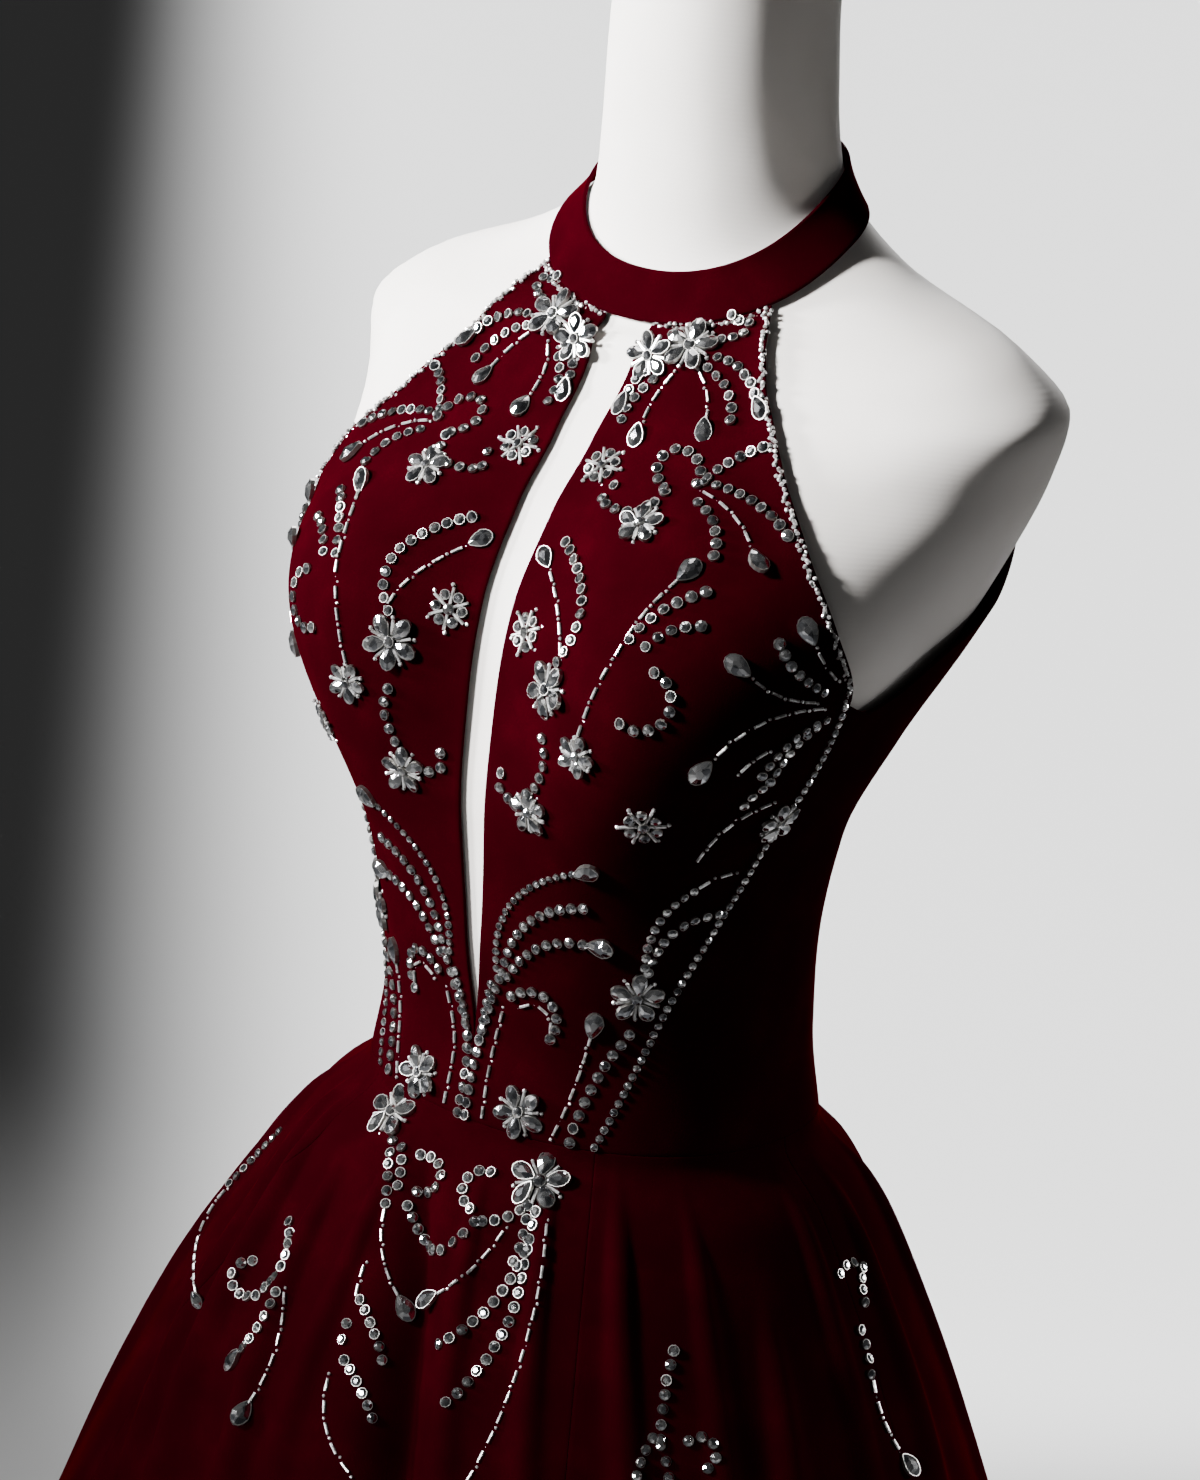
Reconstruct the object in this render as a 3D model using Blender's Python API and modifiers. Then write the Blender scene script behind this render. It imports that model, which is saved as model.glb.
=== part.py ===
"""A floor-length velvet halter gown on a limbless dress form, in metres, +Z up, the front towards -Y.

+X is the wearer's left. Angles are in degrees round the figure: 0 is the centre front, 90 the wearer's
left side and 180 the centre back. Heights are measured from the floor.
"""

import math
from collections import namedtuple

import bmesh
import bpy
from mathutils import Quaternion, Vector
from mathutils.bvhtree import BVHTree

# Cloth and seams
CLOTH = 0.0016
EASE = 0.0013
SEAM_GAP = 0.0003
REST_GAP = 0.0003

# Heights of the seams
WAIST = 1.050
BAND_LOW = 1.447
BAND_HIGH = 1.469
HEM = 0.012

# The figure, as level rings that lean forward towards the neck
Ring = namedtuple("Ring", "height half_width front back centre lean")
FIGURE = [
    Ring(0.905, 0.140, 0.098, 0.106, 0.010, 0),
    Ring(0.960, 0.138, 0.104, 0.108, 0.009, 0),
    Ring(1.010, 0.117, 0.101, 0.096, 0.007, 0),
    Ring(1.050, 0.105, 0.097, 0.087, 0.004, 0),
    Ring(1.090, 0.100, 0.090, 0.081, 0.000, 0),
    Ring(1.140, 0.101, 0.093, 0.077, -0.005, 0),
    Ring(1.190, 0.107, 0.097, 0.079, -0.006, 0),
    Ring(1.240, 0.124, 0.101, 0.087, 0.001, 0),
    Ring(1.290, 0.147, 0.103, 0.096, 0.009, 0),
    Ring(1.330, 0.163, 0.098, 0.100, 0.018, 1),
    Ring(1.365, 0.176, 0.086, 0.094, 0.024, 5),
    Ring(1.390, 0.183, 0.075, 0.081, 0.024, 11),
    Ring(1.410, 0.160, 0.066, 0.069, 0.021, 17),
    Ring(1.430, 0.104, 0.063, 0.058, 0.017, 28),
    Ring(1.447, 0.074, 0.063, 0.053, 0.017, 39),
    Ring(1.469, 0.058, 0.057, 0.050, 0.018, 44),
    Ring(1.500, 0.052, 0.052, 0.049, 0.016, 30),
    Ring(1.545, 0.0485, 0.049, 0.049, 0.012, 10),
    Ring(1.585, 0.047, 0.048, 0.048, 0.011, 5),
]
SQUARENESS = 2.15
BACK_LEAN_LOSS = 0.35
LEAN_BLEND = 0.030
FORM_FOOT = FIGURE[0].height
FORM_COLUMNS = 44
Run = namedtuple("Run", "first last rows")
FORM_RUNS = [Run(0.905, 1.050, 4), Run(1.050, 1.350, 15), Run(1.350, 1.480, 14), Run(1.480, 1.585, 5)]
FORM_EDGE = 0.006

# The two cups of the bust
CUP_HEIGHT = 1.270
CUP_ANGLE = 38.5
CUP_DEPTH = 0.044
CUP_INNER_SPREAD = 26.0
CUP_OUTER_SPREAD = 32.0
CUP_UPPER_SPREAD = 0.073
CUP_LOWER_SPREAD = 0.080

# The front panel's cut, row by row from the waist: the keyhole's edge and the outer edge. The outer edge is
# the slanting seam as far as the underarm, and the armhole above it.
Cut = namedtuple("Cut", "slit_height slit_half_width outer_height outer_angle")
FRONT_CUT = [
    Cut(1.050, 0.0000, 1.050, 37.5),
    Cut(1.086, 0.0000, 1.082, 46.0),
    Cut(1.125, 0.0032, 1.120, 54.5),
    Cut(1.165, 0.0056, 1.160, 63.5),
    Cut(1.205, 0.0072, 1.197, 69.5),
    Cut(1.245, 0.0078, 1.235, 71.5),
    Cut(1.285, 0.0084, 1.272, 70.0),
    Cut(1.315, 0.0092, 1.305, 62.5),
    Cut(1.345, 0.0098, 1.335, 57.0),
    Cut(1.375, 0.0104, 1.367, 53.5),
    Cut(1.405, 0.0112, 1.400, 52.5),
    Cut(1.427, 0.0120, 1.425, 54.0),
    Cut(1.447, 0.0125, 1.447, 57.0),
]
SEAM_CUTS = 6
SEAM_ROWS_A_CUT = 3
ARMHOLE_ROWS_A_CUT = 2
FRONT_COLUMNS = 11

# The back panel's upper edge, from the underarm corner to the centre back, over where it starts at the waist
Edge = namedtuple("Edge", "waist_angle top_angle top_height")
BACK_CUT = [
    Edge(37.5, 70.0, 1.272),
    Edge(47.0, 75.0, 1.268),
    Edge(58.0, 81.0, 1.275),
    Edge(70.0, 88.0, 1.291),
    Edge(82.0, 96.0, 1.302),
    Edge(95.0, 105.0, 1.312),
    Edge(108.0, 115.0, 1.335),
    Edge(121.0, 126.0, 1.372),
    Edge(134.0, 137.0, 1.414),
    Edge(147.0, 147.0, 1.447),
    Edge(158.0, 158.0, 1.447),
    Edge(169.0, 169.0, 1.447),
    Edge(180.0, 180.0, 1.447),
]
BACK_COLUMNS = 18
BLADE_ROWS = 0.44
BLADE_HEIGHT = 0.72
BACK_EVEN_SHARE = 0.25
BLADE_EASE = 0.0032

# The skirt: rings down to the hem, then the folds, each a ridge or, where its depth is negative, a trough
SKIRT = [
    Ring(1.050, 0.105, 0.097, 0.087, 0.004, 0),
    Ring(1.044, 0.106, 0.098, 0.088, 0.004, 0),
    Ring(1.020, 0.129, 0.117, 0.108, 0.004, 0),
    Ring(0.980, 0.155, 0.141, 0.125, 0.004, 0),
    Ring(0.930, 0.183, 0.171, 0.141, 0.004, 0),
    Ring(0.870, 0.209, 0.199, 0.165, 0.004, 0),
    Ring(0.800, 0.236, 0.229, 0.197, 0.004, 0),
    Ring(0.600, 0.312, 0.306, 0.284, 0.004, 0),
    Ring(0.400, 0.389, 0.384, 0.363, 0.004, 0),
    Ring(0.200, 0.460, 0.456, 0.438, 0.004, 0),
    Ring(HEM, 0.520, 0.516, 0.502, 0.004, 0),
]
SKIRT_HEIGHTS = [WAIST, 1.044, 1.028, 1.008, 0.984, 0.955, 0.920, 0.870, 0.790, 0.680, 0.540, 0.380, 0.200, HEM]
Fold = namedtuple("Fold", "angle depth spread start")
FOLDS = [
    Fold(-165, -0.026, 7.5, 0.92),
    Fold(-148, 0.034, 8.0, 0.97),
    Fold(-129, -0.028, 8.5, 0.90),
    Fold(-110, 0.030, 9.0, 0.95),
    Fold(-91, -0.026, 8.0, 0.93),
    Fold(-73, 0.032, 8.0, 0.98),
    Fold(-56, -0.022, 7.0, 0.92),
    Fold(-41, 0.026, 7.0, 1.00),
    Fold(-27, -0.020, 6.0, 0.95),
    Fold(-13, 0.022, 6.5, 1.00),
    Fold(2, 0.018, 6.0, 0.96),
    Fold(34, 0.032, 8.0, 0.99),
    Fold(53, -0.026, 8.5, 0.93),
    Fold(72, 0.030, 8.5, 0.98),
    Fold(91, -0.024, 8.0, 0.91),
    Fold(109, 0.032, 8.5, 0.96),
    Fold(128, -0.028, 8.0, 0.90),
    Fold(146, 0.030, 8.0, 0.95),
    Fold(163, -0.022, 7.0, 0.92),
    Fold(180, 0.026, 7.5, 0.97),
]
FOLD_GROWTH = 1.25
# The deep pleat near the centre front starts under the waist seam and swings out as it falls
PLEAT = Fold(18, -0.070, 4.5, 1.030)
PLEAT_GROWTH = 0.55
PLEAT_SWING = 23.0
PLEAT_SWING_FALL = 0.080
Gore = namedtuple("Gore", "name first last columns")
GORES = [
    Gore("skirt_front", -37.5, 37.5, 27),
    Gore("skirt_side_front_left", 37.5, 90.0, 12),
    Gore("skirt_side_front_right", -90.0, -37.5, 12),
    Gore("skirt_side_back_left", 90.0, 140.0, 11),
    Gore("skirt_side_back_right", -140.0, -90.0, 11),
    Gore("skirt_back_left", 140.0, 180.0, 9),
    Gore("skirt_back_right", -180.0, -140.0, 9),
]

# The neckband, a ring that closes at the centre back
BAND_COLUMNS = 40
BAND_ROWS = 2
BAND_EASE = 0.0015

# Covered buttons down the centre back
BUTTON_RADIUS = 0.0055
BUTTON_THICKNESS = 0.0034
BUTTON_SIDES = 12
BUTTON_ROUNDING = 0.0011
BUTTON_OFFSET = 0.0070
BAND_BUTTONS = [1.4520, 1.4640]
BODICE_BUTTONS = [1.070 + 0.038 * step for step in range(10)]
SKIRT_BUTTONS = [1.030, 0.992, 0.954]

# The stand
BASE_RADIUS = 0.190
BASE_HEIGHT = 0.014
BASE_CENTRE_RISE = 0.006
BASE_ROUNDING = 0.004
BASE_CHAMFER = 0.0012
BASE_CROWN_RADIUS = 0.050
POLE_RADIUS = 0.016
COLLAR_RADIUS = 0.034
COLLAR_HEIGHT = 0.040
FLANGE_RADIUS = 0.055
FLANGE_HEIGHT = 0.008
TURNED_STEPS = 40

Finish = namedtuple("Finish", "name colour roughness metallic")
VELVET = Finish("burgundy_velvet", (0.075, 0.003, 0.010), 0.85, 0.0)
JERSEY = Finish("off_white_jersey", (0.86, 0.84, 0.82), 0.80, 0.0)
STEEL = Finish("brushed_steel", (0.60, 0.60, 0.61), 0.35, 1.0)

STEP = 1e-4


class Curve:
    """A smooth line through a table's values that never swings past them."""

    def __init__(self, places, values):
        pairs = sorted(zip(places, values))
        self.x = [pair[0] for pair in pairs]
        self.y = [pair[1] for pair in pairs]
        gaps = [b - a for a, b in zip(self.x, self.x[1:])]
        rises = [(b - a) / gap for a, b, gap in zip(self.y, self.y[1:], gaps)]
        self.slopes = [rises[0]]
        for before, after in zip(rises, rises[1:]):
            same_way = before * after > 0
            self.slopes.append(2 * before * after / (before + after) if same_way else 0.0)
        self.slopes.append(rises[-1])

    def __call__(self, place):
        place = min(max(place, self.x[0]), self.x[-1])
        low = max(i for i in range(len(self.x) - 1) if self.x[i] <= place)
        gap = self.x[low + 1] - self.x[low]
        t = (place - self.x[low]) / gap
        start = (1 + 2 * t) * (1 - t) ** 2 * self.y[low]
        end = t * t * (3 - 2 * t) * self.y[low + 1]
        turn = t * (1 - t) ** 2 * self.slopes[low] - t * t * (1 - t) * self.slopes[low + 1]
        return start + end + turn * gap


def curves_of(rings):
    """One curve over height for each of the rings' other columns."""
    heights = [ring.height for ring in rings]
    return {name: Curve(heights, [getattr(ring, name) for ring in rings]) for name in Ring._fields[1:]}


FIGURE_CURVES = curves_of(FIGURE)
SKIRT_CURVES = curves_of(SKIRT)


def turned(angle):
    """The angle brought between -180 and 180 degrees."""
    return (angle + 180.0) % 360.0 - 180.0


def oval(curves, angle, height):
    """The radius of the plain ring at this height, in this direction."""
    side = abs(math.sin(math.radians(angle))) / curves["half_width"](height)
    ahead = math.cos(math.radians(angle))
    depth = curves["front" if ahead > 0 else "back"](height)
    return (side**SQUARENESS + (abs(ahead) / depth) ** SQUARENESS) ** (-1 / SQUARENESS)


def placed(curves, angle, height, radius):
    """The point at this radius on a ring. The ring leans forward, and less so towards the back."""
    across = radius * math.sin(math.radians(angle))
    ahead = radius * math.cos(math.radians(angle))
    backness = 0.5 - 0.5 * math.tanh(ahead / LEAN_BLEND)
    lean = math.radians(curves["lean"](height) * (1 - BACK_LEAN_LOSS * backness))
    back = curves["centre"](height) - ahead * math.cos(lean)
    return Vector((across, back, height - ahead * math.sin(lean)))


def cup(angle, height):
    """How far the two cups of the bust raise the figure here."""
    spread = CUP_UPPER_SPREAD if height > CUP_HEIGHT else CUP_LOWER_SPREAD
    upright = math.exp(-(((height - CUP_HEIGHT) / spread) ** 2))
    across = 0.0
    for side in (1, -1):
        away = side * turned(angle) - CUP_ANGLE
        across += math.exp(-((away / (CUP_OUTER_SPREAD if away > 0 else CUP_INNER_SPREAD)) ** 2))
    return CUP_DEPTH * across * upright


def on_figure(angle, height):
    """The point of the dress form's surface in this direction, on the ring of this height."""
    radius = oval(FIGURE_CURVES, angle, height) + cup(angle, height)
    return placed(FIGURE_CURVES, angle, height, radius)


def folded(angle, height):
    """How far the skirt's folds move it outwards here."""
    moved = 0.0
    for fold in [*FOLDS, PLEAT]:
        fall = fold.start - height
        if fall > 0:
            pleat = fold is PLEAT
            swung = PLEAT_SWING * math.exp(-fall / PLEAT_SWING_FALL) if pleat else 0.0
            away = turned(angle - fold.angle + swung) / fold.spread
            share = (fall / (fold.start - HEM)) ** (PLEAT_GROWTH if pleat else FOLD_GROWTH)
            moved += fold.depth * share * math.exp(-(away**2))
    return moved


def on_skirt(angle, height):
    """The point of the skirt's inner side before its ease, in this direction at this height."""
    radius = oval(SKIRT_CURVES, angle, height) + folded(angle, height)
    return placed(SKIRT_CURVES, angle, height, radius)


def outward(surface, angle, height):
    """The unit normal of a surface, pointing away from the figure."""
    turn = math.degrees(STEP)
    around = surface(angle + turn, height) - surface(angle - turn, height)
    upward = surface(angle, height + STEP) - surface(angle, height - STEP)
    return around.cross(upward).normalized()


def skirt_outward(angle, height):
    """The skirt's normal, level along the waist seam so that the wall starts square under the bodice."""
    normal = outward(on_skirt, angle, height)
    if height > WAIST - SEAM_GAP:
        normal.z = 0.0
    return normal.normalized()


def material_of(finish):
    """The finish's Principled material, made once."""
    made = bpy.data.materials.get(finish.name)
    if made is None:
        made = bpy.data.materials.new(finish.name)
        made.use_nodes = True
        shader = made.node_tree.nodes["Principled BSDF"]
        shader.inputs["Base Color"].default_value = (*finish.colour, 1.0)
        shader.inputs["Roughness"].default_value = finish.roughness
        shader.inputs["Metallic"].default_value = finish.metallic
        made.diffuse_color = (*finish.colour, 1.0)
    return made


def solid_from(name, bm, finish, parts):
    """A closed object of this mesh, its faces turned outwards."""
    bmesh.ops.recalc_face_normals(bm, faces=bm.faces)
    mesh = bpy.data.meshes.new(name)
    bm.to_mesh(mesh)
    bm.free()
    mesh.materials.append(material_of(finish))
    solid = bpy.data.objects.new(name, mesh)
    parts.objects.link(solid)
    return solid


def even(count):
    """Shares from 0 to 1 in equal steps."""
    return [step / count for step in range(count + 1)]


def drawn_in(lay, u, v):
    """u and v moved off the piece's cut edges by half a seam gap, measured on the cloth."""
    moved = [u, v]
    for way, at in enumerate((u, v)):
        if 0.0 < at < 1.0:
            continue
        near = [u, v]
        near[way] = at + (STEP if at == 0.0 else -STEP)
        length = (lay(*near)[0] - lay(u, v)[0]).length / STEP
        inset = SEAM_GAP / 2 / length
        moved[way] = at + (inset if at == 0.0 else -inset)
    return moved


def grid_of(bm, across, up):
    """A flat grid in this mesh, and for each vertex its shares across and up."""
    columns, rows = len(across) - 1, len(up) - 1
    bmesh.ops.create_grid(bm, x_segments=columns, y_segments=rows, size=0.5)
    places = {}
    for vert in bm.verts:
        places[vert] = across[round((vert.co.x + 0.5) * columns)], up[round((vert.co.y + 0.5) * rows)]
    return places


def cloth_piece(name, across, up, lay, parts):
    """One cut piece of velvet. lay(u, v) gives a point of its inner side and the way out of it."""
    bm = bmesh.new()
    ways = bm.verts.layers.float_vector.new("way_out")
    for vert, (u, v) in grid_of(bm, across, up).items():
        point, way = lay(*drawn_in(lay, u, v))
        vert[ways] = way
        vert.co = point
    raised = bmesh.ops.extrude_face_region(bm, geom=bm.faces[:], use_keep_orig=True)
    for vert in raised["geom"]:
        if isinstance(vert, bmesh.types.BMVert):
            vert.co += vert[ways] * CLOTH
    return solid_from(name, bm, VELVET, parts)


def patch(bottom, top, left, right):
    """A function that fills four edges given as angle and height, each along its own run from 0 to 1."""

    def fill(u, v):
        ruled = bottom(u) * (1 - v) + top(u) * v + left(v) * (1 - u) + right(v) * u
        corners = (bottom(0) * (1 - v) + top(0) * v) * (1 - u) + (bottom(1) * (1 - v) + top(1) * v) * u
        return ruled - corners

    return fill


def table_curve(rows, column):
    """A curve over a table's rows, from 0 at the first to 1 at the last."""
    last = len(rows) - 1
    return Curve([i / last for i in range(len(rows))], [getattr(row, column) for row in rows])


def slit_angle(height, half_width):
    """The direction in which the figure's front is this far from its centre line."""
    radius = oval(FIGURE_CURVES, 0, height) + cup(0, height)
    return math.degrees(math.asin(half_width / radius))


def front_layout():
    """The left front panel: from the keyhole's edge out to the slanting seam and armhole, waist to neckband."""
    slit_height = table_curve(FRONT_CUT, "slit_height")
    slit_width = table_curve(FRONT_CUT, "slit_half_width")
    outer_height = table_curve(FRONT_CUT, "outer_height")
    outer_angle = table_curve(FRONT_CUT, "outer_angle")

    def slit(v):
        return Vector((slit_angle(slit_height(v), slit_width(v)), slit_height(v)))

    def outer(v):
        return Vector((outer_angle(v), outer_height(v)))

    return patch(lambda u: slit(0).lerp(outer(0), u), lambda u: slit(1).lerp(outer(1), u), slit, outer)


def back_layout():
    """The left back panel: from the slanting seam to the centre back, waist to armhole and neckband."""
    waist_angle = table_curve(BACK_CUT, "waist_angle")
    top_angle = table_curve(BACK_CUT, "top_angle")
    top_height = table_curve(BACK_CUT, "top_height")
    outer_height = table_curve(FRONT_CUT, "outer_height")
    outer_angle = table_curve(FRONT_CUT, "outer_angle")
    seam_share = SEAM_CUTS / (len(FRONT_CUT) - 1)

    def seam(v):
        return Vector((outer_angle(v * seam_share), outer_height(v * seam_share)))

    def centre_back(v):
        return Vector((180.0, WAIST + (BAND_LOW - WAIST) * v))

    fill = patch(
        lambda u: Vector((waist_angle(u), WAIST)),
        lambda u: Vector((top_angle(u), top_height(u))),
        seam,
        centre_back,
    )

    def crowded(u, v):
        """The rows stay even at the seam, and away from it they crowd over the shoulder blades."""
        if v < BLADE_ROWS:
            near_top = v / BLADE_ROWS * BLADE_HEIGHT
        else:
            near_top = BLADE_HEIGHT + (v - BLADE_ROWS) / (1 - BLADE_ROWS) * (1 - BLADE_HEIGHT)
        return fill(u, v + (near_top - v) * min(u / BACK_EVEN_SHARE, 1.0))

    return crowded


def sided(layout, side, ease):
    """The layout laid over the figure, on the wearer's left for side 1 and mirrored for side -1."""

    def lay(u, v):
        angle, height = layout(u, v)
        way = outward(on_figure, angle, height)
        point = on_figure(angle, height) + way * ease(u, v)
        return Vector((side * point.x, point.y, point.z)), Vector((side * way.x, way.y, way.z))

    return lay


def back_ease(u, v):
    """The back stands a little further off towards the shoulder blades."""
    return EASE + BLADE_EASE * min(u / BACK_EVEN_SHARE, 1.0) * v**1.5


def make_bodice(parts):
    """Two front panels, parted by the keyhole, and two back panels that run up into the neckband."""
    cuts = len(FRONT_CUT) - 1
    seam_share = SEAM_CUTS / cuts
    seam_rows = even(SEAM_CUTS * SEAM_ROWS_A_CUT)
    armhole_rows = even((cuts - SEAM_CUTS) * ARMHOLE_ROWS_A_CUT)[1:]
    front_rows = [seam_share * share for share in seam_rows]
    front_rows += [seam_share + (1 - seam_share) * share for share in armhole_rows]
    for hand, side in (("left", 1), ("right", -1)):
        front = sided(front_layout(), side, lambda u, v: EASE)
        back = sided(back_layout(), side, back_ease)
        cloth_piece(f"bodice_front_{hand}", even(FRONT_COLUMNS), front_rows, front, parts)
        cloth_piece(f"bodice_back_{hand}", even(BACK_COLUMNS), seam_rows, back, parts)


def make_skirt(parts):
    """Seven gores from the waist seam to the hem, all cut from one folded surface."""
    drops = [(WAIST - height) / (WAIST - HEM) for height in SKIRT_HEIGHTS]
    for gore in GORES:

        def lay(u, v, gore=gore):
            angle = gore.first + (gore.last - gore.first) * u
            height = WAIST + (HEM - WAIST) * v
            way = skirt_outward(angle, height)
            return on_skirt(angle, height) + way * EASE, way

        cloth_piece(gore.name, even(gore.columns), drops, lay, parts)


def make_neckband(parts):
    """The plain band round the base of the neck, its two ends meeting at the centre back."""

    def lay(u, v):
        angle = -180.0 + 360.0 * u
        height = BAND_LOW + (BAND_HIGH - BAND_LOW) * v
        way = outward(on_figure, angle, height)
        return on_figure(angle, height) + way * BAND_EASE, way

    cloth_piece("neckband", even(BAND_COLUMNS), even(BAND_ROWS), lay, parts)


def seat_height(cloth, foot, out):
    """How high above this point the cloth reaches anywhere under a button that faces out."""
    points = [vert.co for vert in cloth.data.vertices]
    tree = BVHTree.FromPolygons(points, [face.vertices for face in cloth.data.polygons])
    sideways = out.orthogonal()
    highest = 0.0
    for step in range(BUTTON_SIDES):
        rim = Quaternion(out, math.tau * step / BUTTON_SIDES) @ sideways * BUTTON_RADIUS
        hit = tree.ray_cast(foot + rim + out * BUTTON_RADIUS, -out)[0]
        if hit:
            highest = max(highest, (hit - foot).dot(out))
    return highest


def make_button(name, cloth, surface, way, height, parts):
    """A covered button that lies on the cloth, just left of the centre back."""
    angle = 180.0 - math.degrees(BUTTON_OFFSET / surface(180.0, height).to_2d().length)
    foot = surface(angle, height)
    out = way(angle, height)
    bm = bmesh.new()
    bmesh.ops.create_cone(
        bm,
        cap_ends=True,
        segments=BUTTON_SIDES,
        radius1=BUTTON_RADIUS,
        radius2=BUTTON_RADIUS,
        depth=BUTTON_THICKNESS,
    )
    top = BUTTON_THICKNESS / 2
    rim = [edge for edge in bm.edges if all(abs(vert.co.z - top) < STEP / 10 for vert in edge.verts)]
    bmesh.ops.bevel(
        bm, geom=rim, offset=BUTTON_ROUNDING, segments=1, profile=0.5, affect="EDGES", material=-1
    )
    button = solid_from(name, bm, VELVET, parts)
    button.location = foot + out * (seat_height(cloth, foot, out) + REST_GAP + BUTTON_THICKNESS / 2)
    button.rotation_euler = out.to_track_quat("Z", "Y").to_euler()


def make_buttons(parts):
    """The buttons of the neckband, the bodice and the top of the skirt."""

    def figure_way(angle, height):
        return outward(on_figure, angle, height)

    band = parts.objects["neckband"]
    for number, height in enumerate(BAND_BUTTONS, 1):
        make_button(f"neckband_button_{number}", band, on_figure, figure_way, height, parts)
    bodice = parts.objects["bodice_back_left"]
    for number, height in enumerate(BODICE_BUTTONS, 1):
        make_button(f"bodice_button_{number:02d}", bodice, on_figure, figure_way, height, parts)
    skirt = parts.objects["skirt_back_left"]
    for number, height in enumerate(SKIRT_BUTTONS, 1):
        make_button(f"skirt_button_{number}", skirt, on_skirt, skirt_outward, height, parts)


def make_form(parts):
    """The whole form under the gown: hips, waist, bust, rounded shoulders and neck, closed flat on top."""
    bm = bmesh.new()
    heights = [FORM_FOOT]
    for run in FORM_RUNS:
        heights += [run.first + (run.last - run.first) * share for share in even(run.rows)[1:]]
    for vert, (u, height) in grid_of(bm, even(FORM_COLUMNS), heights).items():
        vert.co = on_figure(-180.0 + 360.0 * u, height)
    bmesh.ops.remove_doubles(bm, verts=bm.verts, dist=STEP / 10)
    ends = bmesh.ops.holes_fill(bm, edges=[edge for edge in bm.edges if edge.is_boundary], sides=0)["faces"]
    rims = [edge for face in ends for edge in face.edges]
    bmesh.ops.bevel(bm, geom=rims, offset=FORM_EDGE, segments=2, profile=0.5, affect="EDGES", material=-1)
    solid_from("form_body", bm, JERSEY, parts)


def turned_piece(name, profile, finish, parts):
    """A profile of radius and height turned round the upright axis by a Screw modifier."""
    mesh = bpy.data.meshes.new(name)
    points = [Vector((radius, 0.0, height)) for radius, height in profile]
    mesh.from_pydata(points, [(i, i + 1) for i in range(len(points) - 1)], [])
    mesh.materials.append(material_of(finish))
    piece = bpy.data.objects.new(name, mesh)
    parts.objects.link(piece)
    screw = piece.modifiers.new("turn", "SCREW")
    screw.steps = TURNED_STEPS
    screw.render_steps = TURNED_STEPS
    screw.use_merge_vertices = True
    screw.merge_threshold = 1e-5
    return piece


def make_stand(parts):
    """A round plate on the floor and a pole that carries the form on a flange."""
    crown = BASE_HEIGHT + BASE_CENTRE_RISE
    rounded = BASE_RADIUS - BASE_ROUNDING
    turned_piece(
        "stand_base",
        [
            (0.0, crown),
            (BASE_CROWN_RADIUS, crown),
            (rounded, BASE_HEIGHT),
            (BASE_RADIUS - BASE_CHAMFER, BASE_HEIGHT - BASE_CHAMFER),
            (BASE_RADIUS, BASE_HEIGHT - BASE_ROUNDING),
            (BASE_RADIUS, 0.0),
            (0.0, 0.0),
        ],
        STEEL,
        parts,
    )
    foot = crown + SEAM_GAP
    head = FORM_FOOT - SEAM_GAP
    turned_piece(
        "stand_pole",
        [
            (0.0, head),
            (FLANGE_RADIUS, head),
            (FLANGE_RADIUS, head - FLANGE_HEIGHT),
            (POLE_RADIUS, head - FLANGE_HEIGHT - POLE_RADIUS),
            (POLE_RADIUS, foot + COLLAR_HEIGHT),
            (COLLAR_RADIUS, foot + COLLAR_HEIGHT / 2),
            (COLLAR_RADIUS, foot),
            (0.0, foot),
        ],
        STEEL,
        parts,
    )


def main():
    for old in list(bpy.data.objects):
        bpy.data.objects.remove(old, do_unlink=True)
    parts = bpy.data.collections.new("halter_evening_gown")
    bpy.context.scene.collection.children.link(parts)
    make_form(parts)
    make_stand(parts)
    make_bodice(parts)
    make_neckband(parts)
    make_skirt(parts)
    make_buttons(parts)


main()
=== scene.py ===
import math
import random
from collections import namedtuple

import bmesh
import bpy
import numpy as np
from mathutils import Matrix, Vector
from mathutils.bvhtree import BVHTree


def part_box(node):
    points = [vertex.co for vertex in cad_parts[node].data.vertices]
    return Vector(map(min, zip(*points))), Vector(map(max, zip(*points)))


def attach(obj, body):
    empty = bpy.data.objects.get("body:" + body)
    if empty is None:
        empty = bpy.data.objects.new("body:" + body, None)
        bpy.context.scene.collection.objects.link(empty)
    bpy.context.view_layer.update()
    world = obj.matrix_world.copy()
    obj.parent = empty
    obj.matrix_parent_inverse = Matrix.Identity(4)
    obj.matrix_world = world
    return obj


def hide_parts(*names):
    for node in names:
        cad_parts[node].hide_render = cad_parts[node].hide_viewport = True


# A floor-length velvet halter gown, beaded with crystals, on a limbless dress form.
# Metres, +Z up, the front towards -Y and +X to the wearer's left. Angles are in degrees round the figure:
# 0 is the centre front, 90 the wearer's left side and 180 the centre back. Heights are from the floor.

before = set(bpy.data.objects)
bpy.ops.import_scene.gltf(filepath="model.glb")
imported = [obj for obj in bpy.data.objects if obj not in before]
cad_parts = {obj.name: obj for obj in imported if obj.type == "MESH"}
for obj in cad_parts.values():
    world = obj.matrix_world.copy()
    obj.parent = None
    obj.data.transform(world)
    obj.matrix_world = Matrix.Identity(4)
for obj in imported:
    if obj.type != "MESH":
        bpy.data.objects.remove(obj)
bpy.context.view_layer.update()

# Cloth and seams
CLOTH = 0.0016
EASE = 0.0013
SEAM_GAP = 0.0001
EDGE_ROUNDING = 0.00055
SKIRT_EDGE_ROUNDING = 0.0003
BAND_EDGE_ROUNDING = 0.0008
RIM_RADIANS = 1.0
WELD = 1e-6

# Rough widths and lengths of the pieces, used only for the gap of their seams and where an edge lifts
FRONT_WIDTH = 0.120
FRONT_LENGTH = 0.42
BACK_WIDTH = 0.2
BACK_LENGTH = 0.3
GORE_WIDTH = 0.3
GORE_LENGTH = 1.1
BAND_LENGTH = 0.4
BAND_WIDTH = 0.026

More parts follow.
